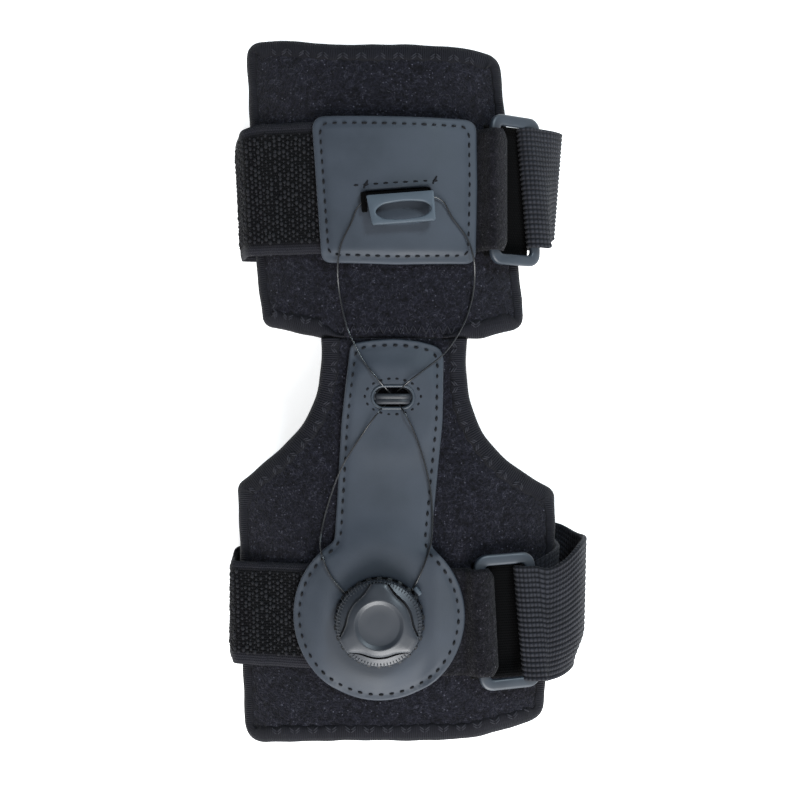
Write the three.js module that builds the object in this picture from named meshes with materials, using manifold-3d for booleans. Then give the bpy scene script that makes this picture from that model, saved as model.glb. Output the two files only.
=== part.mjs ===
// An ankle-and-foot brace with a rotary lace dial, lying on its back with both straps buckled.
// Millimetres. X runs across the brace, Y towards the calf end, Z up. The straps rest on Z = 0.
import * as THREE from 'three';
import { mergeVertices } from 'three/addons/utils/BufferGeometryUtils.js';
import Module from 'manifold-3d';

const wasm = await Module();
wasm.setup();

// Driving dimensions
const GAP = 0.3;
const PANEL_THICKNESS = 3.4;
const BINDING_WALL = 0.8;
const BINDING_LIP = 4.8;
const BINDING_ROOM = 0.5;
const BINDING_STEP = 20;
const LEATHER_THICKNESS = 1.4;
const HOOK_TAPE_THICKNESS = 2.2;
const WEBBING_THICKNESS = 1.8;
const LOOP_THICKNESS = 1.3;
const BUCKLE = { width: 24, bar: 4.25, end: 4.2, thickness: 2.6, corner: 5, barSpan: 19.5 };
const DIAL = {
  x: -10.2, y: -85.6, flangeRadius: 18.5, flange: 1.1, baseRadius: 15.6, baseHeight: 3.8,
  collarRadius: 16.4, collarHeight: 1.8, gripRadius: 16.2, gripTopRadius: 15.2, gripHeight: 4,
  capHeight: 2.5, postRadius: 8.4, boreRadius: 8.8, notches: 26, ribs: 30, portAngle: 49,
};
const GUIDE = { x: -5.2, y: -2.2, length: 15.4, barWidth: 4, barHeight: 2.1, plate: 1.1, lift: 2.7 };
const CLIP = { x: -2.2, y: 67.8, tilt: 4.3, width: 25, height: 11.2, thickness: 2.8, slot: [20.4, 6.8] };
const LACE_DIAMETER = 0.9;
const LACE_STEPS = 76;

// The body's front surface is an arch whose crown, middle and drop change along Y.
// Drop is how far the surface has fallen at ARCH_REACH from the middle.
const ARCH_REACH = 50;
const ARCH_POWER = 2.2;
const BODY_SECTIONS = [
  { y: 136, middle: -12, crown: 38, drop: 11 },
  { y: 105, middle: -11, crown: 39.6, drop: 12.5 },
  { y: 75, middle: -10, crown: 40, drop: 13 },
  { y: 48, middle: -8.5, crown: 39.6, drop: 12.5 },
  { y: 20, middle: -6, crown: 38.6, drop: 9 },
  { y: 0, middle: -5, crown: 38.2, drop: 8 },
  { y: -25, middle: -4.5, crown: 39.6, drop: 8.5 },
  { y: -60, middle: -4, crown: 41, drop: 9.5 },
  { y: -85, middle: -4.5, crown: 41, drop: 10 },
  { y: -110, middle: -5, crown: 40.2, drop: 9.5 },
  { y: -136, middle: -6, crown: 38.5, drop: 8.5 },
];

// Outlines of the bound edges, anticlockwise. A corner is rounded by its radius.
// The edge that starts at a seam corner is where the two panels are sewn together.
const CALF_OUTLINE = [
  { x: -32.6, y: 20.5, radius: 0, seam: true },
  { x: 23, y: 20.2, radius: 0 },
  { x: 29, y: 20.4, radius: 8 },
  { x: 45.6, y: 24.8, radius: 6 },
  { x: 35.9, y: 127.4, radius: 7 },
  { x: 22, y: 130.2, radius: 25 },
  { x: -28, y: 130.4, radius: 25 },
  { x: -43, y: 133.6, radius: 25 },
  { x: -62.2, y: 133.6, radius: 6 },
  { x: -58.2, y: 48, radius: 60 },
  { x: -55.2, y: 25.2, radius: 5.5 },
];
const FOOT_OUTLINE = [
  { x: 22.9, y: 19.8, radius: 0, seam: true },
  { x: -32.5, y: 20.1, radius: 0 },
  { x: -32.4, y: -8.8, radius: 46 },
  { x: -65.4, y: -36, radius: 5.5 },
  { x: -62.6, y: -134.4, radius: 9 },
  { x: -26, y: -131.2, radius: 60 },
  { x: 24, y: -131, radius: 60 },
  { x: 51.6, y: -124.4, radius: 8 },
  { x: 57.6, y: -62, radius: 80 },
  { x: 57.4, y: -38.4, radius: 6 },
  { x: 22.2, y: -18, radius: 48 },
];
const PATCH_OUTLINE = [
  { x: -31.9, y: 48.3, radius: 4 },
  { x: -4, y: 47.3, radius: 30 },
  { x: 25.9, y: 48, radius: 4.5 },
  { x: 26.6, y: 78, radius: 30 },
  { x: 26.2, y: 102.2, radius: 5 },
  { x: -35.8, y: 103.2, radius: 5 },
];

// The spoon-shaped leather: its neck's sides, and the disc round the dial
const SPOON_NECK = {
  top: 18.6, leftTop: -21.4, rightTop: 13.6, shoulder: 4, leftMiddle: -24.6, rightMiddle: 13.4, middle: -12,
};
const SPOON_DISC = { x: -10.5, y: -83.8, radius: 32.2, leftJoin: 121, rightJoin: 53 };

// One row for each cuff: where its straps lie along Y, how its loop hangs, and where its buckle sits.
// Bulge is the strap's reach past the panel's left edge. Flare turns the right loop outwards towards +Y.
const CUFFS = [
  {
    name: 'calf', outline: CALF_OUTLINE, hookLow: 51.8, hookHigh: 101.4, webLow: 54, webHigh: 99,
    tuckLeft: -27, tuckRight: 18, bulge: 6.6, buckleX: 33.4, buckleY: 76, buckleZ: 36.8, buckleTilt: 35,
    buckleTurn: 0, buckleLength: 57, loopX: 58, flare: 1.6, skew: 3.5, jointX: -8, freeEndX: -24,
  },
  {
    name: 'foot', outline: FOOT_OUTLINE, hookLow: -104.2, hookHigh: -65, webLow: -106.6, webHigh: -66.4,
    tuckLeft: -36, tuckRight: 13, bulge: 5, buckleX: 28.3, buckleY: -86.5, buckleZ: 41.4, buckleTilt: 14,
    buckleTurn: 3, buckleLength: 51, loopX: 68.6, flare: 2, skew: 8.5, jointX: -8, freeEndX: -24,
  },
];
const STRAP_STEPS_PER_ROW = 3;

// The lace's route, from the dial's left port round the clip and back to its right port.
// Rise is the height of its middle above the body's front surface.
const LACE_ROUTE = [
  { x: -20.2, y: -77.7, rise: 4.1 },
  { x: -23.2, y: -74.8, rise: 4.7 },
  { x: -28.4, y: -68.6, rise: 5.2 },
  { x: -31.0, y: -62.7, rise: 5.4 },
  { x: -32.4, y: -57.1, rise: 3.2 },
  { x: -31.7, y: -51.2, rise: 1.3 },
  { x: -29.5, y: -42.5, rise: 1.6 },
  { x: -24.6, y: -29.1, rise: 2.7 },
  { x: -17.1, y: -16.8, rise: 2.9 },
  { x: -10.9, y: -8.2, rise: 4.7 },
  { x: -5.4, y: -2.2, rise: 0.9 },
  { x: 0.2, y: 3.2, rise: 5.1 },
  { x: 7.2, y: 8.6, rise: 3.7 },
  { x: 14.6, y: 14.8, rise: 2.9 },
  { x: 21.6, y: 25.6, rise: 1.5 },
  { x: 24.8, y: 35.6, rise: 1.4 },
  { x: 25.6, y: 43.2, rise: 3.4 },
  { x: 25.0, y: 50.2, rise: 6.4 },
  { x: 22.4, y: 57.6, rise: 6.1 },
  { x: 17.0, y: 64.8, rise: 5.9 },
  { x: 13.4, y: 70.8, rise: 6.2 },
  { x: 9.0, y: 72.6, rise: 6.2 },
  { x: -2.5, y: 71.8, rise: 6.1 },
  { x: -14.8, y: 70.9, rise: 6.2 },
  { x: -18.2, y: 68.4, rise: 6.1 },
  { x: -20.4, y: 63.2, rise: 5.7 },
  { x: -24.4, y: 54.8, rise: 5.8 },
  { x: -25.8, y: 46.4, rise: 5.2 },
  { x: -25.2, y: 36.4, rise: 1.6 },
  { x: -22.4, y: 24.0, rise: 1.5 },
  { x: -19.6, y: 17.6, rise: 2.7 },
  { x: -16.2, y: 11.4, rise: 3.4 },
  { x: -10.7, y: 4.2, rise: 4.8 },
  { x: -5.0, y: -2.2, rise: 2.1 },
  { x: -0.7, y: -8.4, rise: 4.7 },
  { x: 3.0, y: -16.0, rise: 3.0 },
  { x: 6.0, y: -24.6, rise: 2.7 },
  { x: 8.4, y: -34.4, rise: 2.7 },
  { x: 9.6, y: -46.4, rise: 2.6 },
  { x: 8.8, y: -57.2, rise: 3.8 },
  { x: 5.6, y: -66.6, rise: 5.2 },
  { x: 2.6, y: -72.8, rise: 4.3 },
  { x: -0.4, y: -77.2, rise: 3.9 },
];

// Body surface
function columnAt(column, y) {
  const rows = BODY_SECTIONS;
  let i = rows.findIndex((row) => row.y <= y) - 1;
  i = i < -1 ? rows.length - 2 : THREE.MathUtils.clamp(i, 0, rows.length - 2);
  const at = (k) => rows[THREE.MathUtils.clamp(k, 0, rows.length - 1)][column];
  const t = THREE.MathUtils.clamp((rows[i].y - y) / (rows[i].y - rows[i + 1].y), 0, 1);
  const slopeIn = (at(i + 1) - at(i - 1)) / 2;
  const slopeOut = (at(i + 2) - at(i)) / 2;
  const rise = at(i + 1) - at(i);
  const bend = 3 * rise - 2 * slopeIn - slopeOut;
  const twist = slopeIn + slopeOut - 2 * rise;
  return at(i) + t * (slopeIn + t * (bend + t * twist));
}

function frontZ(x, y) {
  const across = Math.abs(x - columnAt('middle', y)) / ARCH_REACH;
  return columnAt('crown', y) - columnAt('drop', y) * across ** ARCH_POWER;
}

// A layer's height on a slope grows by this much, so that its wall keeps its thickness.
function steepness(x, y) {
  const across = Math.abs(x - columnAt('middle', y)) / ARCH_REACH;
  const slope = (columnAt('drop', y) * ARCH_POWER * across ** (ARCH_POWER - 1)) / ARCH_REACH;
  return Math.hypot(1, slope);
}

function above(x, y, height) {
  return frontZ(x, y) + height * steepness(x, y);
}

// Solids
function outward(geometry) {
  const position = geometry.getAttribute('position');
  const index = geometry.getIndex().array;
  const [a, b, c] = [new THREE.Vector3(), new THREE.Vector3(), new THREE.Vector3()];
  let volume = 0;
  for (let i = 0; i < index.length; i += 3) {
    a.fromBufferAttribute(position, index[i]);
    b.fromBufferAttribute(position, index[i + 1]);
    c.fromBufferAttribute(position, index[i + 2]);
    volume += a.dot(b.cross(c));
  }
  if (volume < 0) {
    geometry.setIndex(Array.from(index).reverse());
  }
  return geometry;
}

function indexed(points, triangles) {
  const geometry = new THREE.BufferGeometry().setFromPoints(points);
  geometry.setIndex(triangles.flat());
  return outward(geometry);
}

// A closed sheet between two grids of points with the same rows and columns
function sheet(front, back) {
  const rows = front.length;
  const columns = front[0].length;
  const points = [...front.flat(), ...back.flat()];
  const at = (row, column, side) => side * rows * columns + row * columns + column;
  const triangles = [];
  const quad = (a, b, c, d) => triangles.push([a, b, c], [a, c, d]);
  for (let i = 0; i + 1 < rows; i += 1) {
    for (let j = 0; j + 1 < columns; j += 1) {
      quad(at(i, j, 0), at(i, j + 1, 0), at(i + 1, j + 1, 0), at(i + 1, j, 0));
      quad(at(i, j, 1), at(i + 1, j, 1), at(i + 1, j + 1, 1), at(i, j + 1, 1));
    }
    quad(at(i, 0, 0), at(i + 1, 0, 0), at(i + 1, 0, 1), at(i, 0, 1));
    quad(at(i, columns - 1, 0), at(i, columns - 1, 1), at(i + 1, columns - 1, 1), at(i + 1, columns - 1, 0));
  }
  for (let j = 0; j + 1 < columns; j += 1) {
    quad(at(0, j, 0), at(0, j, 1), at(0, j + 1, 1), at(0, j + 1, 0));
    quad(at(rows - 1, j, 0), at(rows - 1, j + 1, 0), at(rows - 1, j + 1, 1), at(rows - 1, j, 1));
  }
  return indexed(points, triangles);
}

// Rings of equal size joined in order. A bored stack closes on itself, another by a point at each end.
function ringStack(rings, bored) {
  const count = rings[0].length;
  const points = rings.flat();
  const triangles = [];
  const last = rings.length - 1;
  for (let k = 0; k < (bored ? rings.length : last); k += 1) {
    const next = (k + 1) % rings.length;
    for (let i = 0; i < count; i += 1) {
      const j = (i + 1) % count;
      triangles.push([k * count + i, k * count + j, next * count + j]);
      triangles.push([k * count + i, next * count + j, next * count + i]);
    }
  }
  if (!bored) {
    const centre = (ring) => ring.reduce((sum, p) => sum.add(p), new THREE.Vector3()).divideScalar(count);
    points.push(centre(rings[0]), centre(rings[last]));
    for (let i = 0; i < count; i += 1) {
      const j = (i + 1) % count;
      triangles.push([points.length - 2, j, i]);
      triangles.push([points.length - 1, last * count + i, last * count + j]);
    }
  }
  return indexed(points, triangles);
}

function ring(count, z, radiusAt) {
  return Array.from({ length: count }, (_, i) => {
    const angle = (i / count) * 2 * Math.PI;
    const radius = radiusAt(angle, i);
    return new THREE.Vector3(radius * Math.cos(angle), radius * Math.sin(angle), z);
  });
}

function solid(geometry) {
  const bare = geometry.clone();
  bare.deleteAttribute('normal');
  bare.deleteAttribute('uv');
  const merged = mergeVertices(bare, 1e-5);
  const mesh = new wasm.Mesh({
    numProp: 3,
    vertProperties: new Float32Array(merged.getAttribute('position').array),
    triVerts: new Uint32Array(merged.getIndex().array),
  });
  return new wasm.Manifold(mesh);
}

function geometryOf(manifold) {
  const { vertProperties, triVerts } = manifold.getMesh();
  const geometry = new THREE.BufferGeometry();
  geometry.setAttribute('position', new THREE.BufferAttribute(vertProperties, 3));
  geometry.setIndex(new THREE.BufferAttribute(triVerts, 1));
  return geometry;
}

function prism(shape, low, high, curveSegments = 6) {
  const options = { depth: high - low, bevelEnabled: false, curveSegments };
  return new THREE.ExtrudeGeometry(shape, options).translate(0, 0, low);
}

function block(width, depth, low, high) {
  return new THREE.BoxGeometry(width, depth, high - low).translate(0, 0, (low + high) / 2);
}

// Outlines
function roundedShape(corners) {
  const shape = new THREE.Shape();
  corners.forEach((corner, i) => {
    const here = new THREE.Vector2(corner.x, corner.y);
    const before = corners.at(i - 1);
    const after = corners[(i + 1) % corners.length];
    const back = new THREE.Vector2(before.x, before.y).sub(here).normalize();
    const ahead = new THREE.Vector2(after.x, after.y).sub(here).normalize();
    const turn = Math.PI - Math.acos(THREE.MathUtils.clamp(back.dot(ahead), -1, 1));
    const reach = corner.radius * Math.tan(turn / 2);
    const start = back.multiplyScalar(reach).add(here);
    const end = ahead.multiplyScalar(reach).add(here);
    if (i === 0) {
      shape.moveTo(start.x, start.y);
    } else {
      shape.lineTo(start.x, start.y);
    }
    if (reach > 0) {
      shape.quadraticCurveTo(here.x, here.y, end.x, end.y);
    }
  });
  shape.closePath();
  return shape;
}

// The outline moved inwards: its bound edges by the binding's wall, its seam edge by half a gap
function insetCorners(corners, bound, seam) {
  return corners.map((corner, i) => {
    const before = corners.at(i - 1);
    const after = corners[(i + 1) % corners.length];
    const inward = (from, to) => new THREE.Vector2(from.y - to.y, to.x - from.x).normalize();
    const normalIn = inward(before, corner);
    const normalOut = inward(corner, after);
    const moveIn = before.seam ? seam : bound;
    const moveOut = corner.seam ? seam : bound;
    const across = normalIn.cross(normalOut);
    if (Math.abs(across) < 1e-3) {
      return { ...corner, x: corner.x + normalIn.x * moveIn, y: corner.y + normalIn.y * moveIn };
    }
    return {
      ...corner,
      x: corner.x + (normalOut.y * moveIn - normalIn.y * moveOut) / across,
      y: corner.y + (normalIn.x * moveOut - normalOut.x * moveIn) / across,
    };
  });
}

function boundsOf(corners) {
  const box = new THREE.Box2();
  corners.forEach((corner) => box.expandByPoint(new THREE.Vector2(corner.x, corner.y)));
  return box;
}

function edgesAt(corners, y) {
  const crossings = corners.flatMap((corner, i) => {
    const after = corners[(i + 1) % corners.length];
    const t = (y - corner.y) / (after.y - corner.y);
    return t >= 0 && t < 1 ? [corner.x + t * (after.x - corner.x)] : [];
  });
  return { left: Math.min(...crossings), right: Math.max(...crossings) };
}

// A layer on the body: an outline cut from a curved slab between two heights above the front surface
function layer(shape, box, cell, lowAt, highAt, segments) {
  const columns = Math.ceil((box.max.x - box.min.x + 2 * GAP) / cell);
  const rows = Math.ceil((box.max.y - box.min.y + 2 * GAP) / cell);
  const grid = (heightAt) => Array.from({ length: rows + 1 }, (_, i) =>
    Array.from({ length: columns + 1 }, (__, j) => {
      const x = THREE.MathUtils.lerp(box.min.x - GAP, box.max.x + GAP, j / columns);
      const y = THREE.MathUtils.lerp(box.min.y - GAP, box.max.y + GAP, i / rows);
      return new THREE.Vector3(x, y, heightAt(x, y));
    }));
  const slab = solid(sheet(grid(highAt), grid(lowAt)));
  return slab.intersect(solid(prism(shape, 0, 80, segments)));
}

// Panels and their binding
function panel(outline) {
  const corners = insetCorners(outline, BINDING_WALL + GAP, GAP / 2);
  const low = (x, y) => above(x, y, -PANEL_THICKNESS);
  return geometryOf(layer(roundedShape(corners), boundsOf(corners), 11.5, low, frontZ, 3));
}

function binding(outline) {
  const seamStart = outline.findIndex((corner) => corner.seam);
  const around = [...outline.slice(seamStart + 1), ...outline.slice(0, seamStart + 1)];
  const raw = roundedShape(around).getPoints(3);
  const seamLength = 1e-3;
  const points = raw.filter((p, i) => i === 0 || p.distanceTo(raw[i - 1]) > seamLength);
  if (points.at(-1).distanceTo(points[0]) < seamLength) {
    points.pop();
  }
  const stations = points.flatMap((p, i) => {
    if (i + 1 === points.length) {
      return [p];
    }
    const parts = Math.ceil(p.distanceTo(points[i + 1]) / BINDING_STEP);
    return Array.from({ length: parts }, (_, k) => p.clone().lerp(points[i + 1], k / parts));
  });
  const channel = (wall, room) => [
    [BINDING_LIP, room], [wall, room], [wall, -PANEL_THICKNESS - room], [BINDING_LIP, -PANEL_THICKNESS - room],
  ];
  const outer = channel(0, BINDING_WALL + BINDING_ROOM);
  const inner = channel(BINDING_WALL, BINDING_ROOM);
  const grid = (section) => stations.map((p, i) => {
    const before = stations[Math.max(i - 1, 0)];
    const after = stations[Math.min(i + 1, stations.length - 1)];
    const inward = new THREE.Vector2(before.y - after.y, after.x - before.x).normalize();
    return section.map(([depth, height]) => {
      const x = p.x + inward.x * depth;
      const y = p.y + inward.y * depth;
      return new THREE.Vector3(x, y, above(x, y, height));
    });
  });
  return sheet(grid(outer), grid(inner));
}

// Leather
const [CALF_CUFF, FOOT_CUFF] = CUFFS;
const HOOK_LIFT = HOOK_TAPE_THICKNESS + 3 * GAP;
const LOOP_LIFT = 2 * LOOP_THICKNESS + 4 * GAP;

function patchLift(x) {
  return THREE.MathUtils.mapLinear(x, PATCH_OUTLINE[5].x, PATCH_OUTLINE[3].x, HOOK_LIFT, LOOP_LIFT);
}

function stadium(length, width) {
  const half = (length - width) / 2;
  const path = new THREE.Path();
  path.absarc(half, 0, width / 2, -Math.PI / 2, Math.PI / 2);
  path.absarc(-half, 0, width / 2, Math.PI / 2, 1.5 * Math.PI);
  path.closePath();
  return path;
}

function stadiumShape(length, width) {
  return new THREE.Shape(stadium(length, width).getPoints(6));
}

function onClip(geometry) {
  return geometry.rotateZ(THREE.MathUtils.degToRad(CLIP.tilt)).translate(CLIP.x, CLIP.y, 0);
}

const SLIT = { length: 22.6, width: 2.8, rise: 6.6 };

function anklePatch() {
  const low = (x, y) => above(x, y, patchLift(x));
  const high = (x, y) => above(x, y, patchLift(x) + LEATHER_THICKNESS);
  const leather = layer(roundedShape(PATCH_OUTLINE), boundsOf(PATCH_OUTLINE), 8, low, high, 4);
  const slit = onClip(block(SLIT.length, SLIT.width, 0, 80).translate(0, SLIT.rise, 0));
  return geometryOf(leather.subtract(solid(slit)));
}

const DIAL_SEAT = frontZ(DIAL.x, DIAL.y) + GAP;
const GUIDE_SEAT = frontZ(GUIDE.x, GUIDE.y) + 2 * GAP;

// Leather on the neck lies on the panel. It is raised over the strap ends, the dial's flange and the guide.
function spoonLow(x, y) {
  const { smoothstep } = THREE.MathUtils;
  const aside = x - DIAL.x;
  const strapLift = aside < 0 ? HOOK_LIFT : LOOP_LIFT;
  const along = Math.abs(y - (FOOT_CUFF.hookHigh + FOOT_CUFF.webLow) / 2);
  const overStraps = smoothstep(Math.abs(aside), 14, 21) * (1 - smoothstep(along, 24, 29));
  const rest = above(x, y, GAP + overStraps * (strapLift - GAP));
  const fromDial = Math.hypot(aside, y - DIAL.y);
  const overFlange = DIAL_SEAT + DIAL.flange + GAP - 8 * smoothstep(fromDial, DIAL.flangeRadius + 1, 40);
  const fromGuide = Math.hypot(Math.max(Math.abs(x - GUIDE.x) - 5, 0), y - GUIDE.y);
  const overGuide = GUIDE_SEAT + GUIDE.plate + GAP - 6 * smoothstep(fromGuide, 10, 26);
  return Math.max(rest, overFlange, overGuide);
}

const GUIDE_WINDOW = { length: 17.4, width: 9.6 };

function dialPatch() {
  const neck = SPOON_NECK;
  const shape = new THREE.Shape();
  shape.moveTo(neck.leftTop, neck.top);
  shape.lineTo(neck.leftMiddle, neck.middle);
  const disc = SPOON_DISC;
  const [left, right] = [disc.leftJoin, disc.rightJoin + 360].map(THREE.MathUtils.degToRad);
  shape.absarc(disc.x, disc.y, disc.radius, left, right);
  shape.lineTo(neck.rightMiddle, neck.middle);
  shape.lineTo(neck.rightTop, neck.top - neck.shoulder);
  shape.quadraticCurveTo(neck.rightTop, neck.top, neck.rightTop - neck.shoulder, neck.top);
  shape.closePath();
  shape.holes.push(new THREE.Path().absarc(DIAL.x, DIAL.y, DIAL.baseRadius + 2 * GAP, 0, 2 * Math.PI));
  const outline = shape.getPoints(14).map((p) => ({ x: p.x, y: p.y }));
  const high = (x, y) => spoonLow(x, y) + LEATHER_THICKNESS * steepness(x, y);
  const leather = layer(shape, boundsOf(outline), 5.2, spoonLow, high, 14);
  const window = prism(stadiumShape(GUIDE_WINDOW.length, GUIDE_WINDOW.width), 0, 80);
  return geometryOf(leather.subtract(solid(window.translate(GUIDE.x, GUIDE.y, 0))));
}

// Straps: a path of rows across the brace along each of the strap's two edges. Nothing sinks below Z = 0.
function strap(low, high, thickness, pathAt) {
  const sections = [low, high].map((y, k) => {
    const rows = pathAt(y, 2 * k - 1).map((row) => new THREE.Vector3(row.x, row.shift, row.z));
    const curve = new THREE.CatmullRomCurve3(rows, false, 'centripetal');
    return { y, points: curve.getPoints((rows.length - 1) * STRAP_STEPS_PER_ROW) };
  });
  const grid = (side) => sections.map(({ y, points }) => points.map((p, i) => {
    const before = points[Math.max(i - 1, 0)];
    const after = points[Math.min(i + 1, points.length - 1)];
    const along = new THREE.Vector2(after.x - before.x, after.z - before.z).normalize();
    const offset = (side * thickness) / 2;
    const height = Math.max(p.z, thickness / 2) + along.x * offset;
    return new THREE.Vector3(p.x - along.y * offset, y + p.y, Math.max(height, 0));
  }));
  return sheet(grid(1), grid(-1));
}

const WEB_FLOOR = WEBBING_THICKNESS / 2;
const MAIN_FLOOR = WEBBING_THICKNESS + GAP;
const STRAP_ROOM = 2 * GAP;
const PROUD = BINDING_WALL + BINDING_ROOM + STRAP_ROOM;

function hookStrap(cuff) {
  const half = HOOK_TAPE_THICKNESS / 2;
  const floor = MAIN_FLOOR + half;
  return strap(cuff.hookLow, cuff.hookHigh, HOOK_TAPE_THICKNESS, (y) => {
    const { left } = edgesAt(cuff.outline, y);
    const on = (x, lift) => ({ x, z: above(x, y, lift + half), shift: 0 });
    const edgeZ = frontZ(left, y);
    return [
      on(cuff.tuckLeft, STRAP_ROOM),
      on(0.7 * cuff.tuckLeft + 0.3 * left, STRAP_ROOM),
      on(0.4 * cuff.tuckLeft + 0.6 * left, STRAP_ROOM + 0.1),
      on(left + 9, PROUD - 0.2),
      on(left + 3.5, PROUD),
      { x: left - 1.8, z: edgeZ + 3.2, shift: 0 },
      { x: left - 0.7 * cuff.bulge, z: edgeZ - 6, shift: 0 },
      { x: left - cuff.bulge, z: floor + 7.4, shift: 0 },
      { x: left - 0.8 * cuff.bulge, z: floor + 2.6, shift: 0.1 * cuff.skew },
      { x: left + 2.4, z: floor + 0.3, shift: 0.15 * cuff.skew },
      { x: left + 13, z: floor, shift: 0.2 * cuff.skew },
      { x: cuff.jointX - 12, z: floor, shift: 0.45 * cuff.skew },
      { x: cuff.jointX, z: floor, shift: 0.55 * cuff.skew },
    ];
  });
}

// The buckle's bars in the plane across the brace: n points out of it, d from its inner to its outer bar
function buckleFrame(cuff) {
  const tilt = THREE.MathUtils.degToRad(cuff.buckleTilt);
  const d = new THREE.Vector2(Math.cos(tilt), -Math.sin(tilt));
  const n = new THREE.Vector2(Math.sin(tilt), Math.cos(tilt));
  const inner = new THREE.Vector2(cuff.buckleX, cuff.buckleZ);
  const outer = inner.clone().addScaledVector(d, BUCKLE.barSpan);
  return { d, n, inner, outer };
}

// A row round a buckle's bar, out of it by n and along the buckle by d, turned with the buckle
function roundBar(cuff, bar, frame, outOf, along, y) {
  const p = bar.clone().addScaledVector(frame.n, outOf).addScaledVector(frame.d, along);
  const turned = (y - cuff.buckleY) * Math.tan(THREE.MathUtils.degToRad(cuff.buckleTurn));
  return { x: p.x - turned, z: p.y, shift: 0 };
}

function webbing(cuff) {
  const half = WEBBING_THICKNESS / 2;
  const frame = buckleFrame(cuff);
  const clear = half + STRAP_ROOM;
  const high = BUCKLE.thickness / 2 + clear;
  const wide = BUCKLE.bar / 2 + clear;
  return strap(cuff.webLow, cuff.webHigh, WEBBING_THICKNESS, (y, side) => {
    const { right } = edgesAt(cuff.outline, y);
    const edge = Math.max(right, frame.outer.x - 3);
    const loop = cuff.loopX + side * cuff.flare - half;
    const bar = (outOf, along) => roundBar(cuff, frame.outer, frame, outOf, along, y);
    const inside = edge > right
      ? [{ x: edge + 2.4, z: 17, shift: 0.6 * cuff.skew }]
      : [
        { x: right + 4.2, z: 19, shift: cuff.skew },
        { x: right + 3.4, z: 27, shift: 0.8 * cuff.skew },
        { x: right - 3, z: above(right - 3, y, PROUD + half + 0.4), shift: 0.45 * cuff.skew },
      ];
    return [
      { x: cuff.jointX + GAP, z: MAIN_FLOOR + half, shift: 0.55 * cuff.skew },
      { x: cuff.jointX + 16, z: MAIN_FLOOR + half, shift: 0.65 * cuff.skew },
      { x: edge - 12, z: MAIN_FLOOR + half + 0.4, shift: 0.85 * cuff.skew },
      { x: edge - 1, z: MAIN_FLOOR + half + 4.4, shift: 0.9 * cuff.skew },
      ...inside,
      bar(-high, 0.6),
      bar(-0.75 * high, -0.8 * wide),
      bar(0.2 * high, -1.05 * wide),
      bar(0.95 * high, -0.5 * wide),
      bar(1.05 * high, 0.7 * wide),
      { x: loop - 3.2, z: frame.outer.y - 2.5, shift: 0.7 * cuff.skew },
      { x: loop, z: 16, shift: cuff.skew },
      { x: loop - 2.2, z: 7.5, shift: 1.05 * cuff.skew },
      { x: loop - 9, z: 1.6, shift: 1.1 * cuff.skew },
      { x: loop - 18, z: WEB_FLOOR, shift: 1.15 * cuff.skew },
      { x: 10, z: WEB_FLOOR, shift: 1.2 * cuff.skew },
      { x: cuff.freeEndX, z: WEB_FLOOR, shift: 1.25 * cuff.skew },
    ];
  });
}

// A pile loop: from under the leather, round the buckle's inner bar and back under the leather
function buckleLoop(cuff) {
  const half = LOOP_THICKNESS / 2;
  const frame = buckleFrame(cuff);
  const clear = half + STRAP_ROOM;
  const high = BUCKLE.thickness / 2 + clear;
  const wide = BUCKLE.bar / 2 + clear;
  return strap(cuff.webLow, cuff.webHigh, LOOP_THICKNESS, (y) => {
    const on = (x, lift) => ({ x, z: above(x, y, lift + half), shift: 0 });
    const bar = (outOf, along) => roundBar(cuff, frame.inner, frame, outOf, along, y);
    const upper = 2 * GAP + LOOP_THICKNESS;
    return [
      on(cuff.tuckRight, GAP),
      on(cuff.tuckRight + 4, GAP),
      on(cuff.tuckRight + 9, GAP),
      bar(-high, -0.5 * wide),
      bar(-0.9 * high, 0.6 * wide),
      bar(0, 1.05 * wide),
      bar(0.9 * high, 0.6 * wide),
      bar(1.05 * high, -0.9 * wide),
      on(cuff.tuckRight + 9, upper),
      on(cuff.tuckRight + 4, upper),
      on(cuff.tuckRight, upper),
    ];
  });
}

function buckle(cuff) {
  const corners = (width, length, radius) => [
    { x: -width / 2, y: -length / 2, radius }, { x: width / 2, y: -length / 2, radius },
    { x: width / 2, y: length / 2, radius }, { x: -width / 2, y: length / 2, radius },
  ];
  const shape = roundedShape(corners(BUCKLE.width, cuff.buckleLength, BUCKLE.corner));
  const slot = corners(BUCKLE.width - 2 * BUCKLE.bar, cuff.buckleLength - 2 * BUCKLE.end, 1.5);
  shape.holes.push(roundedShape(slot));
  const bevel = 0.6;
  const frame = buckleFrame(cuff);
  const middle = frame.inner.clone().lerp(frame.outer, 0.5);
  return new THREE.ExtrudeGeometry(shape, {
    depth: BUCKLE.thickness - 2 * bevel, bevelThickness: bevel, bevelSize: bevel, bevelOffset: -bevel,
    bevelSegments: 1, curveSegments: 4,
  })
    .translate(0, 0, bevel - BUCKLE.thickness / 2)
    .rotateY(THREE.MathUtils.degToRad(cuff.buckleTilt))
    .rotateZ(THREE.MathUtils.degToRad(cuff.buckleTurn))
    .translate(middle.x, cuff.buckleY, middle.y);
}

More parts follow.
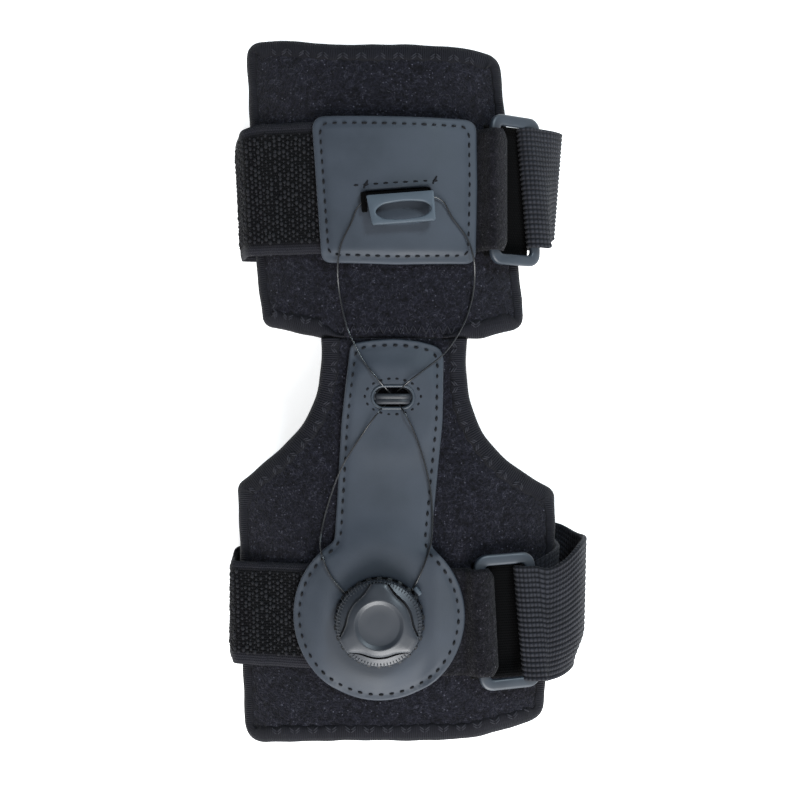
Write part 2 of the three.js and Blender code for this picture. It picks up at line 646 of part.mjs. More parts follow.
// Lace hardware
function laceClip() {
  const seat = frontZ(CLIP.x, CLIP.y);
  const leatherLow = seat + patchLift(CLIP.x);
  const low = leatherLow + LEATHER_THICKNESS + 2 * GAP;
  const high = low + CLIP.thickness;
  const half = { x: CLIP.width / 2, y: CLIP.height / 2 };
  const plate = roundedShape([
    { x: -half.x, y: -half.y, radius: 2.5 }, { x: half.x, y: -half.y, radius: 2.5 },
    { x: half.x, y: half.y, radius: 1.5 }, { x: -half.x, y: half.y, radius: 1.5 },
  ]);
  const slot = prism(stadiumShape(...CLIP.slot), 0, 80).translate(0, -1, 0);
  const groove = block(2 * CLIP.width, 2.2, low - 1, low + 1.7).translate(0, 4, 0);
  const tongueLow = seat + GAP;
  const tongueHigh = leatherLow - 4 * GAP;
  const bridge = block(SLIT.length - 2, SLIT.width - 1.2, tongueLow, high - 0.4).translate(0, SLIT.rise, 0);
  const tongue = block(SLIT.length - 2, 10, tongueLow, tongueHigh).translate(0, SLIT.rise - 4.2, 0);
  const clip = solid(prism(plate, low, high)).subtract(solid(slot)).subtract(solid(groove));
  const web = block(SLIT.length - 2, 2.4, low + 1.8, high - 0.4).translate(0, SLIT.rise - 0.9, 0);
  const whole = clip.add(solid(bridge)).add(solid(tongue)).add(solid(web));
  return onClip(geometryOf(whole));
}

function laceGuide() {
  const plateShape = stadiumShape(GUIDE.length + 7, GUIDE_WINDOW.width + 5);
  plateShape.holes.push(stadium(GUIDE.length - 3, GUIDE_WINDOW.width - 1));
  const plateHigh = GUIDE_SEAT + GUIDE.plate;
  const barLow = GUIDE_SEAT + GUIDE.lift;
  const barHigh = barLow + GUIDE.barHeight;
  const profile = new THREE.Shape();
  const half = GUIDE.barWidth / 2;
  profile.moveTo(-half, barLow + 0.5);
  profile.lineTo(-half + 0.5, barLow);
  profile.lineTo(half - 0.5, barLow);
  profile.lineTo(half, barLow + 0.5);
  profile.quadraticCurveTo(half, barHigh, half / 2, barHigh);
  profile.quadraticCurveTo(0, barHigh, 0, barHigh - 0.6);
  profile.quadraticCurveTo(0, barHigh, -half / 2, barHigh);
  profile.quadraticCurveTo(-half, barHigh, -half, barLow + 0.5);
  const acrossBody = new THREE.Matrix4().makeBasis(
    new THREE.Vector3(0, 1, 0), new THREE.Vector3(0, 0, 1), new THREE.Vector3(1, 0, 0),
  );
  const bar = prism(profile, -GUIDE.length / 2, GUIDE.length / 2, 3).applyMatrix4(acrossBody);
  let whole = solid(prism(plateShape, GUIDE_SEAT, plateHigh)).add(solid(bar));
  const postWidth = 1.6;
  [1, -1].forEach((side) => {
    const post = block(postWidth, GUIDE.barWidth, GUIDE_SEAT, barLow + 1);
    whole = whole.add(solid(post.translate((side * (GUIDE.length - postWidth)) / 2, 0, 0)));
  });
  return geometryOf(whole).translate(GUIDE.x, GUIDE.y, 0);
}

// Dial
const COLLAR_LOW = DIAL_SEAT + DIAL.flange + DIAL.baseHeight + GAP;
const GRIP_LOW = COLLAR_LOW + DIAL.collarHeight + GAP;
const CAP_LOW = GRIP_LOW + DIAL.gripHeight + GAP;

function dialBase() {
  const flangeHigh = DIAL_SEAT + DIAL.flange;
  const bodyHigh = COLLAR_LOW - GAP;
  const postHigh = CAP_LOW - 2 * GAP;
  const profile = [
    [0, DIAL_SEAT], [DIAL.flangeRadius, DIAL_SEAT], [DIAL.flangeRadius, flangeHigh],
    [DIAL.baseRadius, flangeHigh], [DIAL.baseRadius, bodyHigh], [DIAL.postRadius, bodyHigh],
    [DIAL.postRadius, postHigh], [0, postHigh],
  ].map(([radius, z]) => new THREE.Vector2(radius, z));
  const turned = new THREE.LatheGeometry(profile, 36).rotateX(Math.PI / 2);
  let base = solid(turned);
  [1, -1].forEach((side) => {
    const port = block(3, 6, bodyHigh - 2.4, bodyHigh - 0.5).translate(0, DIAL.baseRadius - 1.6, 0);
    base = base.subtract(solid(port.rotateZ(THREE.MathUtils.degToRad(side * DIAL.portAngle))));
  });
  return geometryOf(base).translate(DIAL.x, DIAL.y, 0);
}

function dialCollar() {
  const shape = new THREE.Shape();
  const count = DIAL.notches * 4;
  const corners = ring(count, 0, (angle, i) => DIAL.collarRadius - (i % 4 < 2 ? 0 : 0.9));
  shape.setFromPoints(corners.map((p) => new THREE.Vector2(p.x, p.y)));
  shape.holes.push(new THREE.Path().absarc(0, 0, DIAL.boreRadius, 0, 2 * Math.PI));
  return prism(shape, COLLAR_LOW, COLLAR_LOW + DIAL.collarHeight, 16).translate(DIAL.x, DIAL.y, 0);
}

function dialGrip() {
  const count = DIAL.ribs * 2;
  const ribbed = (radius) => (angle, i) => radius - (i % 2 ? 0.6 : 0);
  const bore = () => DIAL.boreRadius;
  const high = GRIP_LOW + DIAL.gripHeight;
  const rings = [
    ring(count, GRIP_LOW, ribbed(DIAL.gripRadius)),
    ring(count, high, ribbed(DIAL.gripTopRadius)),
    ring(count, high, bore),
    ring(count, GRIP_LOW, bore),
  ];
  return ringStack(rings, true).translate(DIAL.x, DIAL.y, 0);
}

// The cap's outline is a triangle with swollen sides, one lobe towards the guide. Its top is dished.
function dialCap() {
  const count = 42;
  const lobed = (middle) => (angle) => middle + 1.8 * Math.cos(3 * (angle - Math.PI / 2));
  const high = CAP_LOW + DIAL.capHeight;
  const dish = { rim: 9.2, floor: 8.2, depth: 1.4 };
  const rings = [
    ring(count, CAP_LOW, lobed(13.4)),
    ring(count, high - 0.8, lobed(13)),
    ring(count, high, lobed(11.8)),
    ring(count, high, () => dish.rim),
    ring(count, high - dish.depth, () => dish.floor),
  ];
  return ringStack(rings, false).translate(DIAL.x, DIAL.y, 0);
}

function lace() {
  const points = LACE_ROUTE.map(({ x, y, rise }) => new THREE.Vector3(x, y, frontZ(x, y) + rise));
  const circle = new THREE.Path().absarc(0, 0, LACE_DIAMETER / 2, 0, 2 * Math.PI);
  const section = new THREE.Shape(circle.getPoints(4));
  const extrudePath = new THREE.CatmullRomCurve3(points, false, 'centripetal');
  return new THREE.ExtrudeGeometry(section, { steps: LACE_STEPS, extrudePath, bevelEnabled: false });
}

// Finishes
const FABRIC = { color: 0x28272d, roughness: 0.95, metalness: 0 };
const TAPE = { color: 0x262628, roughness: 0.85, metalness: 0 };
const LEATHER = { color: 0x4d555f, roughness: 0.5, metalness: 0 };
const HOOK_TAPE = { color: 0x1f2125, roughness: 0.7, metalness: 0 };
const WEBBING = { color: 0x333840, roughness: 0.8, metalness: 0 };
const PILE = { color: 0x27262c, roughness: 1, metalness: 0 };
const BUCKLE_PLASTIC = { color: 0x454e57, roughness: 0.45, metalness: 0 };
const DIAL_PLASTIC = { color: 0x3a4046, roughness: 0.4, metalness: 0 };
const LACE_FINISH = { color: 0x2a2d31, roughness: 0.35, metalness: 0.3 };

const brace = new THREE.Group();
function addPiece(name, geometry, finish) {
  const mesh = new THREE.Mesh(geometry, new THREE.MeshStandardMaterial(finish));
  mesh.name = name;
  brace.add(mesh);
}

CUFFS.forEach((cuff) => {
  addPiece(`${cuff.name}_panel`, panel(cuff.outline), FABRIC);
  addPiece(`${cuff.name}_binding`, binding(cuff.outline), TAPE);
  addPiece(`${cuff.name}_hook_strap`, hookStrap(cuff), HOOK_TAPE);
  addPiece(`${cuff.name}_webbing`, webbing(cuff), WEBBING);
  addPiece(`${cuff.name}_buckle_loop`, buckleLoop(cuff), PILE);
  addPiece(`${cuff.name}_buckle`, buckle(cuff), BUCKLE_PLASTIC);
});
addPiece('ankle_patch', anklePatch(), LEATHER);
addPiece('dial_patch', dialPatch(), LEATHER);
addPiece('lace_clip', laceClip(), DIAL_PLASTIC);
addPiece('lace_guide', laceGuide(), DIAL_PLASTIC);
addPiece('dial_base', dialBase(), DIAL_PLASTIC);
addPiece('dial_collar', dialCollar(), DIAL_PLASTIC);
addPiece('dial_grip', dialGrip(), DIAL_PLASTIC);
addPiece('dial_cap', dialCap(), DIAL_PLASTIC);
addPiece('lace', lace(), LACE_FINISH);

export default brace;
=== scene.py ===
# %% [markdown]
# # An ankle-and-foot brace with a lace dial
# Two padded cuffs hang together by a neck. Leather patches on the front carry a lace that a dial winds in,
# and a strap closes each cuff behind. This lesson dresses a rigid frame of that brace: the frame says where
# every piece is, and each step below gives one piece its true surface and finish.

# %% Load the frame
import math

import bpy
import numpy as np
from mathutils.geometry import delaunay_2d_cdt
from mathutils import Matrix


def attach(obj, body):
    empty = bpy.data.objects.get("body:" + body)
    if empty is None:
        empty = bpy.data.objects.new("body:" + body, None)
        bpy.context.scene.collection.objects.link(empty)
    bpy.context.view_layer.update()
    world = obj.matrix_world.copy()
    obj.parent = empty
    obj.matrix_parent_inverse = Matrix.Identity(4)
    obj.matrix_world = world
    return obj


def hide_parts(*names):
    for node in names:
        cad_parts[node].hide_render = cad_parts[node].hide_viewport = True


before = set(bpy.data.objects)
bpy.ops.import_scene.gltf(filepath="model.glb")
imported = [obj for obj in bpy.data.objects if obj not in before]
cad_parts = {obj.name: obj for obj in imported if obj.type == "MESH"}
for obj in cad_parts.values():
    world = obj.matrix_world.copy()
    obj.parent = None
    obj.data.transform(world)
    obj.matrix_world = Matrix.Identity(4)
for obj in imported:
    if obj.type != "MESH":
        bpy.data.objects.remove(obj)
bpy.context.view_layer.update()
MM = 0.001
SCENE = bpy.context.scene


def table(columns, *rows):
    """A list of rows whose columns have names."""
    return [dict(zip(columns.split(), row)) for row in rows]


# %% [markdown]
# The brace lies on its back and is seen from straight above. A camera that looks down needs no turning:
# only its height and lens matter. They are set so that a plane at the height of the leather is 300 mm wide.

# %% Camera
VIEW_CENTRE = (-0.00255, -0.0033)
VIEW_WIDTH = 0.300
VIEW_PLANE = 0.041
VIEW_DISTANCE = 0.500
SENSOR_WIDTH = 36.0

camera_data = bpy.data.cameras.new("camera")
camera_data.sensor_width = SENSOR_WIDTH
camera_data.lens = SENSOR_WIDTH * VIEW_DISTANCE / VIEW_WIDTH
camera = bpy.data.objects.new("camera", camera_data)
camera.location = (*VIEW_CENTRE, VIEW_PLANE + VIEW_DISTANCE)
SCENE.collection.objects.link(camera)
SCENE.camera = camera
print("lens in mm:", camera_data.lens)

# %% [markdown]
# The body of the brace is an arch: along its length the crown rises and falls a little, and to both sides
# it drops away. One formula with a short table of sections gives the height of the front surface anywhere,
# so every patch, strap and stitch can be laid on it. The tables are in millimetres.

# %% Body surface
ARCH_REACH = 50.0
ARCH_POWER = 2.2
SECTION_Y = np.array([136.0, 105, 75, 48, 20, 0, -25, -60, -85, -110, -136])
SECTION_MIDDLE = np.array([-12, -11, -10, -8.5, -6, -5, -4.5, -4, -4.5, -5, -6])
SECTION_CROWN = np.array([38, 39.6, 40, 39.6, 38.6, 38.2, 39.6, 41, 41, 40.2, 38.5])
SECTION_DROP = np.array([11, 12.5, 13, 12.5, 9, 8, 8.5, 9.5, 10, 9.5, 8.5])


def cubic(start, end, slope_in, slope_out, part):
    """A place on a smooth curve from start to end, with its slope given at both."""
    bend = 3 * (end - start) - 2 * slope_in - slope_out
    twist = slope_in + slope_out - 2 * (end - start)
    return start + part * (slope_in + part * (bend + part * twist))


def along_sections(values, y):
    """A column of the section table at any y, on one smooth curve through its rows."""
    last = len(SECTION_Y) - 1
    row = np.clip(np.searchsorted(-SECTION_Y, -np.asarray(y, float)) - 1, 0, last - 1)
    part = np.clip((SECTION_Y[row] - y) / (SECTION_Y[row] - SECTION_Y[row + 1]), 0, 1)
    here, after = values[row], values[row + 1]
    slope_in = (after - values[np.maximum(row - 1, 0)]) / 2
    slope_out = (values[np.minimum(row + 2, last)] - here) / 2
    return cubic(here, after, slope_in, slope_out, part)


def front_height(x, y):
    across = np.abs(x - along_sections(SECTION_MIDDLE, y)) / ARCH_REACH
    return along_sections(SECTION_CROWN, y) - along_sections(SECTION_DROP, y) * across**ARCH_POWER


def lifted(x, y, height):
    """The height of a layer that lies this far out from the front surface."""
    across = np.abs(x - along_sections(SECTION_MIDDLE, y)) / ARCH_REACH
    slope = along_sections(SECTION_DROP, y) * ARCH_POWER * across ** (ARCH_POWER - 1) / ARCH_REACH
    return front_height(x, y) + height * np.hypot(1, slope)


def smooth_step(value, low, high):
    part = np.clip((value - low) / (high - low), 0, 1)
    return part * part * (3 - 2 * part)


def smooth_path(points, steps):
    """A smooth curve through points, with so many steps from each to the next."""
    points = np.asarray(points, float)
    padded = np.vstack([2 * points[0] - points[1], points, 2 * points[-1] - points[-2]])
    spans = np.sqrt(np.linalg.norm(np.diff(padded, axis=0), axis=1))[:, None]
    part = (np.arange(steps) / steps)[:, None]
    pieces = []
    for i in range(1, len(points)):
        a, b, c, d = padded[i - 1:i + 3]
        first, middle, last = spans[i - 1], spans[i], spans[i + 1]
        slope_in = ((b - a) / first - (c - a) / (first + middle) + (c - b) / middle) * middle
        slope_out = ((c - b) / middle - (d - b) / (middle + last) + (d - c) / last) * middle
        pieces.append(cubic(b, c, slope_in, slope_out, part))
    return np.vstack([*pieces, points[-1:]])


def path_lengths(points):
    steps = np.linalg.norm(np.diff(points, axis=0), axis=1)
    return np.concatenate([[0], np.cumsum(steps)])


print("highest point of the arch in mm:", SECTION_CROWN.max())

# %% [markdown]
# Node trees are easier to read when one line adds one node. The first helper sets a node's inputs by name,
# and where a value is another node's socket it makes the link. Shader and geometry trees both use it. The
# mesh helpers after it turn rows of points into faces and objects.

# %% Node and mesh helpers
SOCKET_KINDS = {"Geometry": "NodeSocketGeometry", "Material": "NodeSocketMaterial", "Seed": "NodeSocketInt"}


def add_node(tree, kind, inputs=None, **settings):
    node = tree.nodes.new(kind)
    for name, value in settings.items():
        setattr(node, name, value)
    for name, value in (inputs or {}).items():
        if isinstance(value, bpy.types.NodeSocket):
            tree.links.new(value, node.inputs[name])
        else:
            node.inputs[name].default_value = value
    return node


def math_node(tree, operation, first, second=0.0):
    return add_node(tree, "ShaderNodeMath", {0: first, 1: second}, operation=operation).outputs[0]


def map_range(tree, value, low, high, start=0.0, end=1.0, **settings):
    """A value carried from one range over to another."""
    inputs = {"Value": value, 1: low, 2: high, 3: start, 4: end}
    return add_node(tree, "ShaderNodeMapRange", inputs, **settings).outputs[0]


def noise(tree, place, scale, detail, roughness=0.5):
    inputs = {"Vector": place, "Scale": scale, "Detail": detail, "Roughness": roughness}
    return add_node(tree, "ShaderNodeTexNoise", inputs).outputs[0]


def hump(tree, count):
    """One round hump for each whole number that is counted."""
    half_turn = math_node(tree, "MULTIPLY", count, math.pi)
    return math_node(tree, "ABSOLUTE", math_node(tree, "SINE", half_turn))


def new_group(kind, name, inputs, outputs):
    """A node group with named sockets. Inputs give each label's default value, or None for no default."""
    group = bpy.data.node_groups.new(name, kind)
    for way, labels in (("INPUT", inputs), ("OUTPUT", dict.fromkeys(outputs))):
        for label, value in labels.items():
            socket_kind = SOCKET_KINDS.get(label, "NodeSocketFloat")
            socket = group.interface.new_socket(label, in_out=way, socket_type=socket_kind)
            if value is not None:
                socket.default_value = value
    return group, group.nodes.new("NodeGroupInput").outputs


def put_out(group, results):
    """Links a group's results to its outputs."""
    finished = group.nodes.new("NodeGroupOutput")
    for label, socket in results.items():
        group.links.new(socket, finished.inputs[label])
    return group


def painted(tree, geometry, material):
    """Sets the material of a tree's result."""
    inputs = {"Geometry": geometry, "Material": material}
    return add_node(tree, "GeometryNodeSetMaterial", inputs).outputs[0]


def outward(points, faces):
    """The faces, turned round if the closed shape that they make is inside out."""
    points = np.asarray(points, float)
    corners = [(f[0], f[k], f[k + 1]) for f in faces for k in range(1, len(f) - 1)]
    a, b, c = (points[column] for column in np.array(corners).T)
    volume = (a * np.cross(b, c)).sum()
    return faces if volume > 0 else [face[::-1] for face in faces]


def make_object(name, points, faces, material, uv=None, sharp_angle=None):
    """A smooth mesh object from points in millimetres."""
    mesh = bpy.data.meshes.new(name)
    mesh.from_pydata((np.asarray(points, float) * MM).tolist(), [], outward(points, faces))
    if uv is not None:
        corner_points = np.zeros(len(mesh.loops), int)
        mesh.loops.foreach_get("vertex_index", corner_points)
        layer = mesh.uv_layers.new(name="UVMap")
        layer.data.foreach_set("uv", np.asarray(uv, float)[corner_points].ravel())
    mesh.materials.append(material)
    mesh.shade_smooth()
    if sharp_angle:
        mesh.set_sharp_from_angle(angle=math.radians(sharp_angle))
    piece = bpy.data.objects.new(name, mesh)
    SCENE.collection.objects.link(piece)
    return piece


def settle(piece, body="brace", replaces=()):
    """Puts a finished piece on its body and hides the frame nodes that it stands for."""
    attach(piece, body)
    if replaces:
        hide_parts(*replaces)
    print(f"{piece.name}: {len(piece.data.polygons)} faces")


def grid_faces(rows, columns, wrap_rows=False):
    """Four-cornered faces between rows of points that are loops. The last row may be joined to the first."""
    i, j = np.meshgrid(np.arange(rows if wrap_rows else rows - 1), np.arange(columns), indexing="ij")
    below, beside = (i + 1) % rows, (j + 1) % columns
    corners = [i * columns + j, i * columns + beside, below * columns + beside, below * columns + j]
    return np.stack(corners, -1).reshape(-1, 4).tolist()


def tube(rings):
    """Points and faces of a tube through rings of points, closed by a middle point at each end."""
    rows, columns = rings.shape[:2]
    ends = rings[[0, -1]].mean(axis=1)
    points = np.vstack([rings.reshape(-1, 3), ends])
    faces = grid_faces(rows, columns)
    first, last, start = rows * columns, rows * columns + 1, (rows - 1) * columns
    for j in range(columns):
        k = (j + 1) % columns
        faces.append([first, k, j])
        faces.append([last, start + j, start + k])
    return points, faces


def tube_uv(lengths, places):
    """A UV map in millimetres for a tube: along it, then round it."""
    uv = np.stack(np.broadcast_arrays(lengths[:, None], places[None]), -1).reshape(-1, 2)
    return np.vstack([uv, uv[0], uv[-1]])


def full_turn(count):
    """Angles at even steps all the way round."""
    return np.arange(count) / count * 2 * math.pi


def around(radius, turns, place=(0, 0)):
    return np.column_stack([place[0] + radius * np.cos(turns), place[1] + radius * np.sin(turns)])


def flat_ring(loop, height):
    """A flat loop of points, all at one height."""
    return np.column_stack([loop, np.full(len(loop), height)])


def join_parts(parts):
    """One list of points and faces from several."""
    points, faces = [], []
    for part_points, part_faces in parts:
        start = len(points)
        points.extend(np.asarray(part_points).tolist())
        faces.extend([start + corner for corner in face] for face in outward(part_points, part_faces))
    return np.array(points), faces


print("kinds of group socket:", list(SOCKET_KINDS))

# %% [markdown]
# Several finishes share an effect. Cloth, tape and webbing all have fibres, and leather and plastic both
# have a fine grain. Each effect is one node group that puts out masks and heights, and each material sets
# its scale.

# %% Shared effects
SPECK_EDGE = {"near": 0.05, "far": 0.32}
STRAND_WIDTH = 0.035
TUFTS = {"low": 0.3, "high": 0.7}


def scale_of(tree, size):
    return math_node(tree, "DIVIDE", 1.0, size)


def fibre_group():
    """Fuzz of short fibres: a height, cloudy patches, a few bright specks, and loose curly strands."""
    sizes = {"Fibre size": 0.0006, "Patch size": 0.006, "Speck amount": 0.3, "Strand size": 0.0018}
    results = ["Height", "Patches", "Specks", "Strands"]
    group, given = new_group("ShaderNodeTree", "Fibre fuzz", sizes, results)
    place = add_node(group, "ShaderNodeTexCoord").outputs["Object"]
    fine = scale_of(group, given["Fibre size"])
    cloud = noise(group, place, scale_of(group, given["Patch size"]), 3.0)
    cells = add_node(group, "ShaderNodeTexVoronoi", {"Vector": place, "Scale": fine}).outputs
    near = map_range(group, cells["Distance"], SPECK_EDGE["near"], SPECK_EDGE["far"], 1.0, 0.0)
    chance = add_node(group, "ShaderNodeSeparateColor", {"Color": cells["Color"]}).outputs[0]
    floor = math_node(group, "SUBTRACT", 1.0, given["Speck amount"])
    picked = math_node(group, "GREATER_THAN", chance, floor)
    swirl = noise(group, place, scale_of(group, given["Strand size"]), 1.0)
    off_line = math_node(group, "ABSOLUTE", math_node(group, "SUBTRACT", swirl, 0.5))
    line = map_range(group, off_line, 0.0, STRAND_WIDTH, 1.0, 0.0)
    tufted = map_range(group, cloud, TUFTS["low"], TUFTS["high"])
    return put_out(group, {
        "Height": noise(group, place, fine, 4.0, 0.7),
        "Patches": cloud,
        "Specks": math_node(group, "MULTIPLY", near, picked),
        "Strands": math_node(group, "MULTIPLY", line, tufted),
    })


def weave_group():
    """Threads over and under along a piece's own UV map, which is in millimetres."""
    pitches = {"Along pitch": 1.2, "Across pitch": 1.2, "Stagger": 0.5}
    group, given = new_group("ShaderNodeTree", "Thread weave", pitches, ["Height", "Thread"])
    uv = add_node(group, "ShaderNodeUVMap", uv_map="UVMap").outputs[0]
    split = add_node(group, "ShaderNodeSeparateXYZ", {0: uv}).outputs
    across = math_node(group, "DIVIDE", split["Y"], given["Across pitch"])
    shift = math_node(group, "MULTIPLY", math_node(group, "FLOOR", across), given["Stagger"])
    along = math_node(group, "DIVIDE", split["X"], given["Along pitch"])
    along = math_node(group, "ADD", along, shift)
    height = math_node(group, "MULTIPLY", hump(group, along), hump(group, across))
    # Thread is darker where the weave dips: painted shade in the gaps between threads.
    return put_out(group, {"Height": height, "Thread": math_node(group, "POWER", height, 0.5)})


def grain_group():
    """A fine pebbled grain with soft mottling."""
    sizes = {"Grain size": 0.0006, "Mottle size": 0.02}
    group, given = new_group("ShaderNodeTree", "Fine grain", sizes, ["Height", "Mottle"])
    place = add_node(group, "ShaderNodeTexCoord").outputs["Object"]
    cells = {"Vector": place, "Scale": scale_of(group, given["Grain size"])}
    pebbles = add_node(group, "ShaderNodeTexVoronoi", cells, feature="SMOOTH_F1").outputs["Distance"]
    mottle = noise(group, place, scale_of(group, given["Mottle size"]), 4.0)
    return put_out(group, {"Height": pebbles, "Mottle": mottle})


FIBRES = fibre_group()
WEAVE = weave_group()
GRAIN = grain_group()
print("effects:", FIBRES.name, WEAVE.name, GRAIN.name)

# %% [markdown]
# A finish starts from one dark and one light colour. The group's masks mix them over the surface, and its
# height feeds a bump. Sheen, coat and other numbers that don't change are set on the shader itself.
# Colours are from 0 to 255, weave pitches in millimetres, and grain sizes and bump depths in metres.

# %% Finishes
WOVEN = table(
    "name dark light along across stagger depth shine edge",
    ("edge tape", (6, 6, 8), (24, 24, 31), 0.8, 9.0, 0.0, 0.0003, 0.12),
    ("ribbed webbing", (4, 4, 6), (46, 47, 53), 1.4, 1.87, 0.0, 0.0004, 0.12),
    ("hook tape ground", (3, 3, 4), (11, 11, 13), 0.8, 1.0, 0.5, 0.0003, 0.05, (44, 44, 50)),
    ("hook nubs", (24, 24, 27), (66, 66, 73), 0.5, 0.5, 0.0, 0.0001, 0.12),
    # The near-black weave is painted shade, for the sheets under the buckles and the clip's tongue.
    ("dark backing", (1, 1, 1), (3, 3, 4), 0.8, 1.0, 0.5, 0.0002, 0.03),
    ("stitch thread", (5, 6, 11), (10, 12, 20), 0.5, 0.5, 0.5, 0.0001, 0.2),
    ("tape thread", (34, 34, 40), (68, 68, 76), 0.5, 0.5, 0.5, 0.0001, 0.2),
    ("lint", (44, 44, 49), (80, 80, 87), 0.5, 0.5, 0.5, 0.0001, 0.2),
)
GRAINED = table(
    "name dark light roughness grain depth coat shine coat_roughness",
    ("leather", (39, 45, 53), (46, 52, 61), 0.58, 0.0007, 0.00005, 0.0, 0.38, 0.35),
    ("buckle plastic", (36, 43, 51), (44, 51, 59), 0.45, 0.0005, 0.00002, 0.05, 0.5, 0.35),
    ("clip plastic", (56, 65, 73), (63, 72, 81), 0.5, 0.0005, 0.00002, 0.0, 0.4, 0.35),
    ("guide bar plastic", (28, 30, 35), (34, 37, 42), 0.5, 0.0005, 0.00002, 0.0, 0.4, 0.35),
    ("dial plastic", (30, 34, 40), (36, 40, 47), 0.42, 0.0005, 0.00001, 0.05, 0.5, 0.35),
    # The near-black plastic makes the ports and the toothed collar; on the collar it is painted shade.
    ("dark plastic", (8, 9, 12), (13, 15, 19), 0.5, 0.0005, 0.00002, 0.0, 0.3, 0.35),
    ("lace coat", (9, 10, 13), (14, 16, 20), 0.34, 0.0004, 0.00001, 0.7, 0.3, 0.2),
)
STRAND_SHOW = 0.22
CLOUD_SHARE = 0.3
MOTTLE_SIZE = 0.014
FUZZ_SHARE = 0.4


def linear(colour):
    """A colour from 0 to 255 as the shader's own numbers."""
    parts = np.array(colour) / 255
    return (*np.where(parts <= 0.04045, parts / 12.92, ((parts + 0.055) / 1.055) ** 2.4), 1.0)


def finish(name, roughness, constants):
    material = bpy.data.materials.new(name)
    material.use_nodes = True
    shader = material.node_tree.nodes["Principled BSDF"]
    shader.inputs["Roughness"].default_value = roughness
    for label, value in constants.items():
        shader.inputs[label].default_value = value
    return material.node_tree, shader, material


def use_group(tree, group, values):
    node = add_node(tree, "ShaderNodeGroup", node_tree=group)
    for label, value in values.items():
        node.inputs[label].default_value = value
    return node.outputs


def mix(tree, mask, low, high):
    """A colour between two, each a colour or a socket. Mix's colour sockets have numbers, not names."""
    return add_node(tree, "ShaderNodeMix", {0: mask, 6: low, 7: high}, data_type="RGBA").outputs[2]


def bump(tree, shader, height, strength, depth):
    node = add_node(tree, "ShaderNodeBump", {"Height": height, "Strength": strength, "Distance": depth})
    tree.links.new(node.outputs[0], shader.inputs["Normal"])


def pile_cloth(name, dark, light, speck):
    """Brushed loop cloth: dull, cloudy, with specks where a loop faces the light."""
    constants = {"Sheen Weight": 0.05, "Sheen Roughness": 0.5, "Specular IOR Level": 0.08}
    tree, shader, material = finish(name, roughness=0.95, constants=constants)
    fuzz = use_group(tree, FIBRES, {"Fibre size": 0.0011, "Patch size": 0.003, "Speck amount": 0.2})
    cloudy = map_range(tree, fuzz["Patches"], 0.35, 0.65, 0.0, CLOUD_SHARE)
    fine = map_range(tree, fuzz["Height"], 0.4, 0.66)
    tone = math_node(tree, "ADD", cloudy, math_node(tree, "MULTIPLY", fine, 1 - CLOUD_SHARE))
    colour = mix(tree, tone, linear(dark), linear(light))
    for mask, share in (("Specks", fine), ("Strands", STRAND_SHOW)):
        colour = mix(tree, math_node(tree, "MULTIPLY", fuzz[mask], share), colour, linear(speck))
    tree.links.new(colour, shader.inputs["Base Color"])
    bump(tree, shader, fuzz["Height"], strength=1.0, depth=0.0012)
    return material


def woven_tape(name, dark, light, along, across, stagger, depth, shine, edge=None):
    """A woven or ribbed band whose threads follow its UV map. Edge is the colour of a plain selvage."""
    constants = {"Sheen Weight": 0.03, "Specular IOR Level": shine}
    tree, shader, material = finish(name, roughness=0.75, constants=constants)
    threads = use_group(tree, WEAVE, {"Along pitch": along, "Across pitch": across, "Stagger": stagger})
    fuzz = use_group(tree, FIBRES, {"Fibre size": 0.0004, "Patch size": 0.01, "Speck amount": 0.05})
    uneven = map_range(tree, fuzz["Patches"], 0.25, 0.75, 0.6, 1.0)
    # The colour darkens where the threads dip, which is painted shade in the gaps, and the patches vary it
    # at random.
    colour = mix(tree, math_node(tree, "MULTIPLY", threads["Thread"], uneven), linear(dark), linear(light))
    if edge:
        selvage = add_node(tree, "ShaderNodeAttribute", attribute_name="selvage").outputs["Fac"]
        colour = mix(tree, math_node(tree, "MULTIPLY", selvage, fuzz["Height"]), colour, linear(edge))
    tree.links.new(colour, shader.inputs["Base Color"])
    fuzzy = math_node(tree, "MULTIPLY", fuzz["Height"], FUZZ_SHARE)
    height = math_node(tree, "ADD", threads["Height"], fuzzy)
    bump(tree, shader, height, strength=0.9, depth=depth)
    return material


def grained(name, dark, light, roughness, grain, depth, coat, shine, coat_roughness):
    """Smooth leather or moulded plastic: a fine grain, soft mottling and a roughness that follows it."""
    constants = {"Coat Weight": coat, "Coat Roughness": coat_roughness, "Specular IOR Level": shine}
    tree, shader, material = finish(name, roughness, constants)
    given = use_group(tree, GRAIN, {"Grain size": grain, "Mottle size": MOTTLE_SIZE})
    contrast = map_range(tree, given["Mottle"], 0.3, 0.7)
    rough = map_range(tree, given["Mottle"], 0.25, 0.75, roughness - 0.06, roughness + 0.08)
    tree.links.new(mix(tree, contrast, linear(dark), linear(light)), shader.inputs["Base Color"])
    tree.links.new(rough, shader.inputs["Roughness"])
    bump(tree, shader, given["Height"], strength=0.35, depth=depth)
    return material


PILE = pile_cloth("pile cloth", (5, 5, 8), (28, 28, 37), (100, 100, 112))
LOOP_PILE = pile_cloth("loop tape pile", (3, 3, 5), (24, 23, 29), (88, 86, 92))
TAPE, WEBBING, HOOK_GROUND, HOOK_NUB, SHADE_BLACK, THREAD, TAPE_THREAD, LINT = (
    woven_tape(**row) for row in WOVEN
)
LEATHER, BUCKLE_PLASTIC, CLIP_PLASTIC, BAR_PLASTIC, DIAL_PLASTIC, DARK_AND_SHADE_PLASTIC, LACE_COAT = (
    grained(**row) for row in GRAINED
)
print("finishes:", len(bpy.data.materials))
